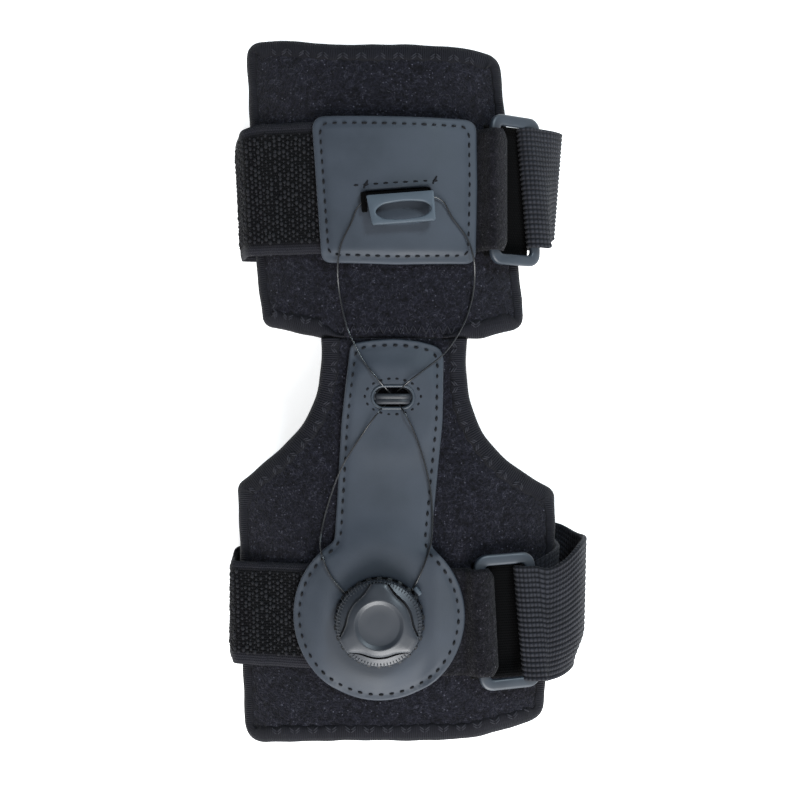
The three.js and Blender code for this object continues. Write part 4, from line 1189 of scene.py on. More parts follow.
for name, cuff in CUFFS.items():
    ends = (cuff["hookLow"], cuff["hookHigh"])
    middles, normals = strap_columns(cuff, hook_path, ends, HOOK_GRID)
    band, lengths, across = strap_band(
        f"{name}_hook_band", middles, normals, HOOK_HALF - NUB_ROOM, HOOK_GROUND
    )
    low, high = SELVAGE["low"], across[-1] - SELVAGE["high"]
    bare = 1 - smooth_step(across, low - SELVAGE_FADE["far"], low - SELVAGE_FADE["near"])
    bare += smooth_step(across, high + SELVAGE_FADE["near"], high + SELVAGE_FADE["far"])
    mark_across(band, "selvage", bare, len(lengths))
    settle(band, replaces=[f"{name}_hook_strap"])
    spots, ups, alongs = nub_spots(middles, normals, HOOK_HALF - NUB_SINK)
    nubs = bumps(f"{name}_hook_nubs", spots, ups, alongs, NUB_SIZE, HOOK_NUB, NUB_UNEVENNESS, seed=3)
    settle(nubs)

# %% [markdown]
# The webbing has round ribs along its length. A second node group raises them: each point knows how far
# across the strap it is, and is moved out along its normal by a wave of that distance. The fine bars across
# each rib are too small for points, so the material's weave draws them.

# %% Webbing
RIB_PITCH = 1.87
RIB_HEIGHT = 0.38
RIB_LEVEL = 0.6
WEB_GRID = {"columns": 145, "steps": 6}


def rib_tree():
    inputs = {"Geometry": None, "Pitch": 2 * MM, "Height": 0.4 * MM, "Material": None}
    tree, given = new_group("GeometryNodeTree", "Long ribs", inputs, ["Geometry"])
    across = add_node(tree, "GeometryNodeInputNamedAttribute", {"Name": "across"}, data_type="FLOAT")
    wave = hump(tree, math_node(tree, "DIVIDE", across.outputs[0], given["Pitch"]))
    height = math_node(tree, "MULTIPLY", math_node(tree, "SUBTRACT", wave, RIB_LEVEL), given["Height"])
    normal = add_node(tree, "GeometryNodeInputNormal").outputs[0]
    offset = add_node(tree, "ShaderNodeVectorMath", {0: normal, "Scale": height}, operation="SCALE")
    move = {"Geometry": given["Geometry"], "Offset": offset.outputs[0]}
    moved = add_node(tree, "GeometryNodeSetPosition", move).outputs[0]
    return put_out(tree, {"Geometry": painted(tree, moved, given["Material"])})


RIBS = rib_tree()
for name, cuff in CUFFS.items():
    ends = (cuff["tapeLow"], cuff["tapeHigh"])
    middles, normals = strap_columns(cuff, webbing_path, ends, WEB_GRID)
    band, lengths, across = strap_band(f"{name}_webbing_band", middles, normals, WEB_HALF, WEBBING)
    mark_across(band, "across", across * MM, len(lengths))
    pitch = across[-1] / round(across[-1] / RIB_PITCH)
    run_tree(band, RIBS, {"Pitch": pitch * MM, "Height": RIB_HEIGHT * MM, "Material": WEBBING})
    settle(band, replaces=[f"{name}_webbing"])

# %% [markdown]
# A strip of loop pile comes out from under the leather, goes round the buckle's inner bar and back. It holds
# the buckle. The buckle itself is a ring with a soft section: matching loops of points, from the slot out to
# the rim. A thin near-black sheet under each buckle's opening is painted shade, for the deep shadow between
# the straps there.

# %% Pile loops and buckles
LOOP_GRID = {"columns": 26, "steps": 8}
CORNER_POINTS = 8
SIDE_POINTS = 8
BUCKLE_SECTION = 14
BUCKLE_SOFTNESS = 0.5
SLOT_CORNER = 1.5
# Sizes of the near-black sheet under each buckle, which is painted shade.
SHADE_SHEET_UNDER = 0.8
SHADE_SHEET_HALF = 0.3
SHADE_SHEET_SELVAGE = 0.3
PILL_FLAT = 0.01


def box_loop(width, length, radius):
    """A rounded rectangle whose points match those of any other made here."""
    points = []
    for quarter, (sx, sy) in enumerate([(1, 1), (-1, 1), (-1, -1), (1, -1)]):
        middle = np.array([sx * (width / 2 - radius), sy * (length / 2 - radius)])
        turns = np.linspace(quarter, quarter + 1, CORNER_POINTS) * math.pi / 2
        points.append(middle + radius * np.column_stack([np.cos(turns), np.sin(turns)]))
    loop = []
    for here, after in zip(points, points[1:] + points[:1]):
        part = np.linspace(0, 1, SIDE_POINTS + 2)[1:-1, None]
        loop += [here, here[-1] * (1 - part) + after[0] * part]
    return np.vstack(loop)


def pill(length, width):
    """A loop with straight sides and round ends. A short flat keeps the ends' middle points apart."""
    return box_loop(length, width, width / 2 - PILL_FLAT)


def ring_between(inner, outer, section):
    """Points and faces of a ring. Its section is rows of a share from inner to outer loop, and a height."""
    rows = [flat_ring(inner + (outer - inner) * share, height) for share, height in section]
    return np.vstack(rows), grid_faces(len(rows), len(inner), wrap_rows=True)


def soft_wave(wave, softness):
    """A wave from -1 to 1 with flatter tops."""
    return np.sign(wave) * np.abs(wave) ** softness


def soft_section(height, softness, count):
    """A section rounded all round, from flat-sided (near 0) to oval (1)."""
    shape = soft_wave(around(1, full_turn(count)), softness)
    return [(0.5 + 0.5 * share, 0.5 * height * rise) for share, rise in shape]


def turned(points, tilt, turn, place):
    """Points tipped about y, then turned about z, then moved, in degrees and millimetres."""
    tilt, turn = math.radians(tilt), math.radians(turn)
    x, y, z = np.asarray(points, float).T
    x, z = x * math.cos(tilt) + z * math.sin(tilt), z * math.cos(tilt) - x * math.sin(tilt)
    x, y = x * math.cos(turn) - y * math.sin(turn), y * math.cos(turn) + x * math.sin(turn)
    return np.column_stack([x, y, z]) + np.asarray(place, float)


for name, cuff in CUFFS.items():
    ends = (cuff["webLow"], cuff["webHigh"])
    middles, normals = strap_columns(cuff, loop_path, ends, LOOP_GRID)
    band, lengths, across = strap_band(f"{name}_pile_loop", middles, normals, LOOP_HALF, LOOP_PILE)
    settle(band, replaces=[f"{name}_buckle_loop"])
    # Painted shade: a thin near-black sheet under the buckle's opening stands in for the shadow between the
    # straps.
    opening = cuff["buckleLength"] / 2 - BUCKLE["end"] + SHADE_SHEET_UNDER
    ends = (cuff["buckleY"] - opening, cuff["buckleY"] + opening)
    middles, normals = strap_columns(cuff, shade_sheet_path, ends, LOOP_GRID)
    band, lengths, across = strap_band(
        f"{name}_buckle_shade_sheet", middles, normals, SHADE_SHEET_HALF, SHADE_BLACK, SHADE_SHEET_SELVAGE
    )
    settle(band)
    inner_bar, outer_bar, _, _ = buckle_frame(cuff)
    x, z = (inner_bar + outer_bar) / 2
    width, length = BUCKLE["width"], cuff["buckleLength"]
    rim = box_loop(width, length, BUCKLE["corner"])
    slot = box_loop(width - 2 * BUCKLE["bar"], length - 2 * BUCKLE["end"], SLOT_CORNER)
    section = soft_section(BUCKLE["thickness"], BUCKLE_SOFTNESS, BUCKLE_SECTION)
    points, faces = ring_between(slot, rim, section)
    points = turned(points, cuff["buckleTilt"], cuff["buckleTurn"], (x, cuff["buckleY"], z))
    buckle = make_object(f"{name}_ring_buckle", points, faces, BUCKLE_PLASTIC)
    settle(buckle, replaces=[f"{name}_buckle"])

# %% [markdown]
# The leather has a cut edge, rounded a little, and a line of stitches that sinks into it all the way round.
# The ankle patch covers the strap ends, so it stands up from the panel and bends down at its lower and
# upper margins. A slit in it takes the clip's tongue, and the leather rises in a low lip beside it.

# %% Ankle leather
PATCH_OUTLINE = table(
    "x y radius",
    (-31.9, 48.3, 4), (-4, 47.3, 30), (25.9, 48, 4.5), (26.6, 78, 30), (26.2, 102.2, 5), (-35.8, 103.2, 5),
)
PATCH_LEFT = min(corner["x"] for corner in PATCH_OUTLINE)
PATCH_RIGHT = max(corner["x"] for corner in PATCH_OUTLINE)
PATCH_BENDS = {"low": {"y": 53.5, "drop": 1.3, "reach": 6}, "high": {"y": 99, "drop": 0.8, "reach": 5}}
LIP = {"height": 0.55, "along": 8.6, "width": 0.8, "half": 13, "fade": 2}
LEATHER_THICKNESS = 1.4
LEATHER_SPACING = 1.1
LEATHER_STEP = 0.9
LEATHER_EDGE = [0.0, 0.12, 0.35, 0.8]
LEATHER_ROUND = 0.65
LEATHER_WAVE = 0.08
PATCH_MARGIN = 2.9
STITCH_SINK = 0.42
STITCH_GROOVE = 0.85
HOOK_LIFT = 3.1
LOOP_LIFT = 3.8
CLIP = {"x": -2.2, "y": 67.8, "tilt": 4.3, "width": 25, "height": 11.2}
SLIT = {"length": 25.6, "width": 2.0, "x": -1.2, "rise": 6.55, "corner": 0.9, "step": 0.8}


def on_clip(points, height=0):
    """Points in the clip's own plane, turned and moved to the brace."""
    return turned(points, 0, CLIP["tilt"], (CLIP["x"], CLIP["y"], height))


def in_clip(x, y):
    """Places on the brace, seen in the clip's own plane."""
    turn = math.radians(CLIP["tilt"])
    x, y = x - CLIP["x"], y - CLIP["y"]
    return x * math.cos(turn) + y * math.sin(turn), y * math.cos(turn) - x * math.sin(turn)


def patch_low(x, y):
    share = (x - PATCH_LEFT) / (PATCH_RIGHT - PATCH_LEFT)
    lift = HOOK_LIFT + (LOOP_LIFT - HOOK_LIFT) * share
    low, high = PATCH_BENDS["low"], PATCH_BENDS["high"]
    bend = low["drop"] * smooth_step(low["y"] - y, 0, low["reach"])
    bend = bend + high["drop"] * smooth_step(y - high["y"], 0, high["reach"])
    across, along = in_clip(x, y)
    lip = LIP["height"] * np.exp(-(((along - LIP["along"]) / LIP["width"]) ** 2))
    lip = lip * smooth_step(LIP["half"] - np.abs(across), 0, LIP["fade"])
    return lifted(x, y, lift - bend) + lip + LEATHER_WAVE * soft_waves(x, y)


def patch_top(x, y):
    return patch_low(x, y) + LEATHER_THICKNESS


def leather_heights(low_at, margin):
    """Heights of a leather cut: rounded at every edge, and sunk along the stitches near its outer edge."""

    def heights(x, y, reaches):
        low = low_at(x, y)
        edge = rounded_edge(reaches.min(axis=0), LEATHER_ROUND)
        sunk = STITCH_SINK * np.exp(-(((reaches[0] - margin) / STITCH_GROOVE) ** 2))
        return low + LEATHER_THICKNESS - edge - sunk, low + edge

    return heights


patch_edge = evenly(np.vstack(outline_turns(PATCH_OUTLINE)), LEATHER_STEP, True)
slit_loop = box_loop(SLIT["length"], SLIT["width"], SLIT["corner"]) + [SLIT["x"], SLIT["rise"]]
slit_edge = on_clip(flat_ring(evenly(slit_loop, SLIT["step"], True), 0))[:, :2]
ankle_leather = laid_cut(
    "ankle_leather", patch_edge, [slit_edge[::-1]], LEATHER_SPACING, LEATHER_EDGE,
    leather_heights(patch_low, PATCH_MARGIN), LEATHER,
)
settle(ankle_leather, replaces=["ankle_patch"])

# %% [markdown]
# The second leather is cut like a spoon: a neck up the middle, and a disc round the dial. The dial's flange
# and the guide's plate are under it and push it up in two low mounds. Soft maximums blend those with the
# flat parts.

# %% Dial leather
DIAL = {"x": -10.2, "y": -85.6}
GUIDE = {"x": -5.2, "y": -2.2}
DIAL_CENTRE = (DIAL["x"], DIAL["y"])
GUIDE_CENTRE = (GUIDE["x"], GUIDE["y"])
DIAL_SEAT = 41.2
FLANGE = {"radius": 18.5, "height": 1.1}
GUIDE_SEAT = float(front_height(*GUIDE_CENTRE)) + 2 * GAP
GUIDE_PLATE = 1.1
SPOON_NECK = [
    (13.4, -12), (13.9, 13.2), (12.9, 15.6), (10.9, 17.1), (4, 18.9), (-4.4, 19.7), (-13, 19.2),
    (-21.2, 17.9), (-24.6, -12),
]
SPOON_DISC = {"x": -10.5, "y": -83.8, "radius": 32.2, "leftJoin": 121, "rightJoin": 53, "points": 120}
SPOON_SOFTENING = 5
SPOON_MARGIN = 2.3
DIAL_HOLE = {"radius": 16.2, "points": 110}
WINDOW = {"length": 15.6, "width": 8.4, "step": 0.7}
STRAP_COVER = {"inner": 11, "outer": 23, "half": 24, "end": 29}
DIAL_MOUND = {"drop": 8, "reach": 40, "stretch": 0.72}
GUIDE_MOUND = {"drop": 6, "half": 5, "top": 10, "reach": 26, "stretch": 0.55}
MOUND_SOFTNESS = 1.8


def soft_max(first, second):
    return (first + second + np.sqrt((first - second) ** 2 + MOUND_SOFTNESS**2)) / 2


def soften(loop, times):
    """A closed loop with its corners worn round."""
    for _ in range(times):
        loop = (np.roll(loop, 1, axis=0) + 2 * loop + np.roll(loop, -1, axis=0)) / 4
    return loop


def spoon_low(x, y):
    aside = x - DIAL["x"]
    strap_lift = np.where(aside < 0, HOOK_LIFT, LOOP_LIFT)
    foot = CUFFS["foot"]
    from_middle = np.abs(y - (foot["hookHigh"] + foot["webLow"]) / 2)
    over_straps = smooth_step(np.abs(aside), STRAP_COVER["inner"], STRAP_COVER["outer"])
    over_straps = over_straps * (1 - smooth_step(from_middle, STRAP_COVER["half"], STRAP_COVER["end"]))
    rest = lifted(x, y, GAP + over_straps * (strap_lift - GAP))
    beyond = y - DIAL["y"]
    from_dial = np.hypot(aside, np.where(beyond > 0, DIAL_MOUND["stretch"] * beyond, beyond))
    fall = DIAL_MOUND["drop"] * smooth_step(from_dial, FLANGE["radius"] + 1, DIAL_MOUND["reach"])
    over_flange = DIAL_SEAT + FLANGE["height"] + GAP - fall
    below = GUIDE["y"] - y
    beside = np.maximum(np.abs(x - GUIDE["x"]) - GUIDE_MOUND["half"], 0)
    from_guide = np.hypot(beside, np.where(below > 0, GUIDE_MOUND["stretch"] * below, below))
    fall = GUIDE_MOUND["drop"] * smooth_step(from_guide, GUIDE_MOUND["top"], GUIDE_MOUND["reach"])
    over_guide = GUIDE_SEAT + GUIDE_PLATE + GAP - fall
    return soft_max(rest, soft_max(over_flange, over_guide)) + LEATHER_WAVE * soft_waves(x, y)


def spoon_top(x, y):
    return spoon_low(x, y) + LEATHER_THICKNESS


joins = (SPOON_DISC["leftJoin"], SPOON_DISC["rightJoin"] + 360)
turns = np.radians(np.linspace(*joins, SPOON_DISC["points"]))
disc = around(SPOON_DISC["radius"], turns, (SPOON_DISC["x"], SPOON_DISC["y"]))
spoon_edge = soften(evenly(np.vstack([disc, SPOON_NECK]), LEATHER_STEP, True), SPOON_SOFTENING)
window_edge = evenly(pill(WINDOW["length"], WINDOW["width"]), WINDOW["step"], True) + GUIDE_CENTRE
hole_edge = around(DIAL_HOLE["radius"], full_turn(DIAL_HOLE["points"]), DIAL_CENTRE)
dial_leather = laid_cut(
    "dial_leather", spoon_edge, [hole_edge[::-1], window_edge[::-1]], LEATHER_SPACING, LEATHER_EDGE,
    leather_heights(spoon_low, SPOON_MARGIN), LEATHER,
)
settle(dial_leather, replaces=["dial_patch"])

# %% [markdown]
# The lace is one coated wire. It leaves the dial on the left, crosses under the guide's bar, goes round the
# clip, crosses back and enters the dial on the right. A curve with a round bevel keeps one thickness all
# along. Rise is the height of its middle above the front surface, and where it crosses leather it rests on
# top.

# %% Lace
LACE_DIAMETER = 0.65
LACE_ROUTE = table(
    "x y rise",
    (-20.2, -77.7, 4.1), (-23.2, -74.8, 4.7), (-28.4, -68.6, 5.2), (-31.0, -62.7, 5.4),
    (-32.4, -57.1, 3.2), (-31.7, -51.2, 1.3), (-29.5, -42.5, 1.6), (-24.6, -29.1, 2.7),
    (-17.1, -16.8, 2.9), (-10.9, -8.2, 4.7), (-5.4, -2.2, 0.9), (0.2, 3.2, 5.1),
    (7.2, 8.6, 3.7), (14.6, 14.8, 2.9), (21.6, 25.6, 1.5), (24.8, 35.6, 1.4),
    (25.6, 43.2, 3.4), (25.0, 50.2, 6.4), (22.4, 57.6, 6.1), (17.0, 64.8, 5.9),
    (13.4, 70.8, 6.2), (9.0, 72.6, 6.2), (-2.5, 71.8, 6.1), (-14.8, 70.9, 6.2),
    (-18.2, 68.4, 6.1), (-20.4, 63.2, 5.7), (-24.4, 54.8, 5.8), (-25.8, 46.4, 5.2),
    (-25.2, 36.4, 1.6), (-22.4, 24.0, 1.5), (-19.6, 17.6, 2.7), (-16.2, 11.4, 3.4),
    (-10.7, 4.2, 4.8), (-5.0, -2.2, 2.1), (-0.7, -8.4, 4.7), (3.0, -16.0, 3.0),
    (6.0, -24.6, 2.7), (8.4, -34.4, 2.7), (9.6, -46.4, 2.6), (8.8, -57.2, 3.8),
    (5.6, -66.6, 5.2), (2.6, -72.8, 4.3), (-0.4, -77.2, 3.9),
)
LACE_STEPS = 6
LIFT_SPREAD = 3
GUIDE_REACH = {"inner": 5, "outer": 8}

lace_rows = [(p["x"], p["y"], float(front_height(p["x"], p["y"])) + p["rise"]) for p in LACE_ROUTE]
lace_line = smooth_path(lace_rows, LACE_STEPS)
flat = lace_line[:, :2]
from_guide = np.hypot(*(flat - GUIDE_CENTRE).T)
from_dial = np.hypot(*(flat - DIAL_CENTRE).T)
resting = inside(flat, spoon_edge) & (from_guide > GUIDE_REACH["outer"]) & (from_dial > FLANGE["radius"])
on_leather = spoon_top(flat[:, 0], flat[:, 1]) + LACE_DIAMETER
lift = np.where(resting, np.maximum(on_leather - lace_line[:, 2], 0), 0)
for _ in range(LIFT_SPREAD):
    lift = np.maximum.reduce([lift, np.roll(lift, 1), np.roll(lift, -1)])
for _ in range(2 * LIFT_SPREAD):
    lift = (np.roll(lift, 1) + 2 * lift + np.roll(lift, -1)) / 4
lace_line[:, 2] += lift * smooth_step(from_guide, GUIDE_REACH["inner"], GUIDE_REACH["outer"])
lace_line *= MM
lace_curve = bpy.data.curves.new("lace_wire", "CURVE")
lace_curve.dimensions = "3D"
lace_curve.bevel_depth = LACE_DIAMETER / 2 * MM
lace_curve.bevel_resolution = 3
lace_curve.use_fill_caps = True
lace_spline = lace_curve.splines.new("POLY")
lace_spline.points.add(len(lace_line) - 1)
lace_spline.points.foreach_set("co", np.column_stack([lace_line, np.ones(len(lace_line))]).ravel())
lace_curve.materials.append(LACE_COAT)
lace = bpy.data.objects.new("lace_wire", lace_curve)
SCENE.collection.objects.link(lace)
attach(lace, "brace")
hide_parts("lace")
print("lace length in metres:", round(float(path_lengths(lace_line)[-1]), 4))

# %% [markdown]
# Stitches are bumps along a line. Each seam below is a line on the leather, and its stitches lie in the
# groove that the thread has pulled in. A bartack, which is a few stitches side by side, is near each end of
# the short row.

# %% Leather stitches
SLOPE_STEP = 0.2
INSET_SOFTENING = 8
INSET_KEEP = 0.97
ROW_ENDS = {"left": (-18.9, 76.7), "right": (10.6, 78.6)}
ROW_POINTS = 20
BARTACK = np.array([(0.0, -0.5), (0.4, 0.2), (0.9, 0.9)])
BARTACK_PLACES = {"left": (3.2, 0.2), "right": (-0.6, 0.1)}
BARTACK_WAY = [0.35, 1.0, 0.0]
BARTACK_SIZE = (1.9, 0.8, 0.8)
GUIDE_RING = {"long": 10.5, "short": 6.7, "rise": 0.2, "points": 90}
STITCH_HEIGHT = 0.1


def surface_up(height_at, x, y):
    """Unit normals of a height function, from its slope over a short step."""
    slope_x = (height_at(x + SLOPE_STEP, y) - height_at(x - SLOPE_STEP, y)) / (2 * SLOPE_STEP)
    slope_y = (height_at(x, y + SLOPE_STEP) - height_at(x, y - SLOPE_STEP)) / (2 * SLOPE_STEP)
    return unit(np.column_stack([-slope_x, -slope_y, np.ones(len(x))]))


def on_surface(height_at, flat, raised=0.0):
    """Flat places put on a height function, and the way up at each."""
    x, y = flat.T
    return np.column_stack([flat, height_at(x, y) + raised]), surface_up(height_at, x, y)


def seam(line, closed, pitch, height_at):
    """Places, ups and directions of even stitches along a flat line."""
    even = evenly(line, pitch, closed)
    normals = inward_normals(even, closed)
    along = np.column_stack([normals[:, 1], -normals[:, 0], np.zeros(len(even))])
    return *on_surface(height_at, even, -STITCH_HEIGHT), along


def inset(loop, distance):
    """A loop moved in from its edge, with no tangles where it turns."""
    moved = loop + inward_normals(loop, True) * distance
    keep = distance_to(moved, loop) > INSET_KEEP * distance
    return soften(evenly(moved[keep], LEATHER_STEP, True), INSET_SOFTENING)


row_line = np.linspace(ROW_ENDS["left"], ROW_ENDS["right"], ROW_POINTS)
guide_ring = around(1, full_turn(GUIDE_RING["points"])) * [GUIDE_RING["long"], GUIDE_RING["short"]]
guide_ring += [GUIDE["x"], GUIDE["y"] + GUIDE_RING["rise"]]
SEAMS = table(
    "name line closed pitch surface size",
    ("patch", inset(patch_edge, PATCH_MARGIN), True, 3.75, patch_top, (2.0, 0.85, 0.75)),
    ("row", row_line, False, 3.7, patch_top, (2.1, 0.9, 0.8)),
    ("spoon", inset(spoon_edge, SPOON_MARGIN), True, 3.95, spoon_top, (1.9, 1.0, 0.75)),
    ("guide", guide_ring, True, 3.0, spoon_top, (1.4, 1.0, 0.7)),
)
for stitching in SEAMS:
    stitches = seam(stitching["line"], stitching["closed"], stitching["pitch"], stitching["surface"])
    label = f"{stitching['name']}_stitches"
    thread = bumps(label, *stitches, stitching["size"], THREAD, unevenness=0.12, seed=5)
    settle(thread)

tacks = np.vstack([np.add(ROW_ENDS[end], BARTACK_PLACES[end]) + BARTACK for end in ROW_ENDS])
ways = np.tile(BARTACK_WAY, (len(tacks), 1))
spots, ups = on_surface(patch_top, tacks, STITCH_HEIGHT)
bartacks = bumps("row_bartacks", spots, ups, ways, BARTACK_SIZE, THREAD, seed=6)
settle(bartacks)

# %% [markdown]
# The clip is a plate that leans over an oval slot, with a rim round the slot. Its left end is cut at a
# slant. A tongue under it goes down through the slit in the leather. The tongue and a block beside the
# plate's slanted end are near-black: painted shade in the slit and painted shadow beside the plate.

# %% Lace clip
CLIP_SLOT = {"length": 20.6, "width": 6.9, "x": 0.9, "y": -0.9, "taper": 0.4}
CLIP_CORNER = 0.7
CLIP_SLANT = 1.5
CLIP_RAISE = 0.9
CLIP_LEAN = 6.0
CLIP_SECTION = [
    (0.0, 0.4), (0.0, 2.35), (0.06, 2.55), (0.16, 2.62), (0.45, 2.58), (0.92, 2.5), (0.99, 2.42),
    (1.0, 2.3), (1.0, 0.3), (0.9, 0.0), (0.1, 0.0),
]
BLOCK_BEVEL = 0.25
BLOCK_CORNER = 0.5
TONGUE_LENGTH = SLIT["length"] - 2
TONGUE_DEPTH = 3.0
PATCH_RISE = 0.38
CLIP_LIFT = HOOK_LIFT + PATCH_RISE + LEATHER_THICKNESS + 2 * GAP + CLIP_RAISE

clip_low = float(lifted(CLIP["x"], CLIP["y"], 0)) + CLIP_LIFT
plate = box_loop(CLIP["width"], CLIP["height"], CLIP_CORNER)
slant = 1 - (CLIP_SLANT / CLIP["width"]) * 2 * (0.5 - plate[:, 1] / CLIP["height"])
plate[:, 0] = np.where(plate[:, 0] < 0, plate[:, 0] * slant, plate[:, 0])
slot = pill(CLIP_SLOT["length"], CLIP_SLOT["width"])
slot[:, 1] *= 1 - CLIP_SLOT["taper"] * (2 * slot[:, 0] / CLIP_SLOT["length"]) ** 2
slot += [CLIP_SLOT["x"], CLIP_SLOT["y"]]
points, faces = ring_between(slot, plate, CLIP_SECTION)
points[:, 2] -= points[:, 1] * math.tan(math.radians(CLIP_LEAN))
clip_plate = make_object("clip_plate", on_clip(points, clip_low), faces, CLIP_PLASTIC, sharp_angle=50)
settle(clip_plate, replaces=["lace_clip"])


def soft_block(width, length, low, high, place):
    """Points and faces of a block with rounded upright edges and a small bevel."""
    bevelled = [(BLOCK_BEVEL, low), (0.0, low + BLOCK_BEVEL), (0.0, high - BLOCK_BEVEL), (BLOCK_BEVEL, high)]
    rings = []
    for bevel, z in bevelled:
        loop = box_loop(width - 2 * bevel, length - 2 * bevel, BLOCK_CORNER) + place
        rings.append(flat_ring(loop, z))
    return tube(np.stack(rings))


tongue_low = clip_low - LEATHER_THICKNESS - 2 * GAP - TONGUE_DEPTH
TONGUE_BLOCKS = table(
    "width length low high place",
    (TONGUE_LENGTH, 1.5, tongue_low, clip_low + 0.6, (SLIT["x"], SLIT["rise"] - 0.6)),
    (TONGUE_LENGTH, 10, tongue_low, tongue_low + 1.4, (SLIT["x"], SLIT["rise"] - 4.2)),
    (TONGUE_LENGTH, 3.0, clip_low + 0.1, clip_low + 1.0, (SLIT["x"], SLIT["rise"] - 1.8)),
    # A near-black block beside the plate's slanted end: painted shadow of the plate.
    (2.2, 7.4, clip_low - 1.2, clip_low + 0.3, (-13.5, 3.4)),
)
points, faces = join_parts([soft_block(**row) for row in TONGUE_BLOCKS])
settle(make_object("clip_tongue", on_clip(points), faces, SHADE_BLACK, sharp_angle=40))

# %% [markdown]
# The guide is a plate under the leather with a bar across its window. Two ribs run along the bar, and the
# lace passes under it. Its ends bow down to the plate. A soft rim lines the window.

# %% Lace guide
PLATE = {"innerLength": 12.4, "innerWidth": 7.0, "outerLength": 22.4, "outerWidth": 14.6}
BAR = {"length": 13.6, "width": 4.0, "height": 2.0, "lift": 3.7, "bow": 1.9, "y": -0.7, "softness": 0.7}
BAR_GROOVE = {"depth": 0.55, "width": 0.5}
POST = {"length": 1.4, "height": 2.6, "x": 6.9}
RIM = {"out": 0.6, "height": 1.2, "sink": 0.25, "softness": 0.9, "points": 10}
BAR_POINTS = 24
BAR_STATIONS = 22

plate_top = GUIDE_SEAT + GUIDE_PLATE
plate_section = [(0, GUIDE_SEAT), (0, plate_top), (1, plate_top), (1, GUIDE_SEAT)]
guide_plate = ring_between(
    pill(PLATE["innerLength"], PLATE["innerWidth"]) + GUIDE_CENTRE,
    pill(PLATE["outerLength"], PLATE["outerWidth"]) + GUIDE_CENTRE,
    plate_section,
)
turns = full_turn(BAR_POINTS)
bar_across = soft_wave(np.cos(turns), BAR["softness"]) * BAR["width"] / 2
bar_rise = soft_wave(np.sin(turns), BAR["softness"]) * BAR["height"] / 2
groove = BAR_GROOVE["depth"] * np.exp(-((bar_across / BAR_GROOVE["width"]) ** 2))
bar_rise -= np.where(np.sin(turns) > 0, groove, 0)
bar_rings = []
for along in np.linspace(-1, 1, BAR_STATIONS):
    middle = GUIDE_SEAT + BAR["lift"] - BAR["bow"] * np.abs(along) ** 4
    place = np.full(BAR_POINTS, GUIDE["x"] + along * BAR["length"] / 2)
    bar_rings.append(np.column_stack([place, GUIDE["y"] + BAR["y"] - bar_across, middle + bar_rise]))
post_top = GUIDE_SEAT + POST["height"]
posts = []
for side in (-1, 1):
    place = (GUIDE["x"] + side * POST["x"], GUIDE["y"])
    posts.append(soft_block(POST["length"], BAR["width"], GUIDE_SEAT, post_top, place))
points, faces = join_parts([guide_plate, tube(np.stack(bar_rings)), *posts])
guide_bar = make_object("guide_bar", points, faces, BAR_PLASTIC, sharp_angle=50)
settle(guide_bar, replaces=["lace_guide"])

loops = [pill(WINDOW["length"] + size, WINDOW["width"] + size) for size in (-2 * RIM["out"], 2 * RIM["out"])]
points, faces = ring_between(*loops, soft_section(RIM["height"], RIM["softness"], RIM["points"]))
points[:, :2] += GUIDE_CENTRE
points[:, 2] += spoon_top(points[:, 0], points[:, 1]) - RIM["sink"]
settle(make_object("guide_rim", points, faces, BUCKLE_PLASTIC))

# %% [markdown]
# The dial is turned work: each part is a profile of radius and height carried round. A wave added to the
# radius makes the collar's teeth and the cap's three lobes. The cap and the ribbed grip turn together, and
# both lift.

# %% Dial
DIAL_PLACE = (*DIAL_CENTRE, 0)
ROUND_POINTS = 156
TURNS = full_turn(ROUND_POINTS)
TEETH = 26
TOOTH_EDGE = {"low": -0.1, "high": 0.7}
LOBES = 3
LOBE_FLATNESS = 1.3
BORE = 8.8
BASE_PROFILE = table(
    "radius height wave",
    (18.2, 41.2, 0), (18.2, 42.2, 0), (15.6, 42.3, 0), (15.6, 45.4, 0), (15.0, 46.1, 0), (8.4, 46.1, 0),
    (8.4, 52.0, 0), (8.0, 52.2, 0),
)
COLLAR_PROFILE = table(
    "radius height wave",
    (16.4, 46.4, 0.9), (16.9, 46.7, 1.2), (16.9, 47.9, 1.2), (16.4, 48.2, 0.9), (BORE, 48.2, 0),
    (BORE, 46.4, 0),
)
CAP_PROFILE = table(
    "radius height wave",
    (11.6, 52.8, 3.5), (11.8, 53.0, 3.5), (11.8, 53.9, 3.5), (11.5, 54.3, 3.4), (10.8, 54.7, 2.4),
    (10.1, 54.95, 1.1), (9.5, 55.15, 0.3), (9.1, 55.28, 0), (8.8, 55.2, 0), (7.8, 54.4, 0), (7.4, 54.3, 0),
    (4.0, 54.3, 0),
)
CAP_SIDE = CAP_PROFILE[1]
GRIP_SIDE = [(BORE, 48.5), (15.4, 48.5), (15.9, 48.9), (15.8, 50.9)]
PAD = {"rim": 15.5, "height": 51.5, "slope": 0.5, "bevel": 0.25, "least": 0.1}
PAD_SHARES = [0.0, 0.15, 0.4, 0.7, 0.93, 1.0]
GROOVE = {"room": 0.7, "floor": 50.6}


def dial_ring(radius, height):
    """One ring of a dial part. Radius and height may be numbers or may change round it."""
    height = np.broadcast_to(height, ROUND_POINTS)
    return np.column_stack([radius * np.cos(TURNS), radius * np.sin(TURNS), height]) + DIAL_PLACE


def turned_rings(profile, wave):
    """Rings of points for a profile, with the radius raised by each row's share of the wave."""
    return np.stack([dial_ring(row["radius"] + row["wave"] * wave, row["height"]) for row in profile])


def bored(rings):
    rows, columns = rings.shape[:2]
    return rings.reshape(-1, 3), grid_faces(rows, columns, wrap_rows=True)


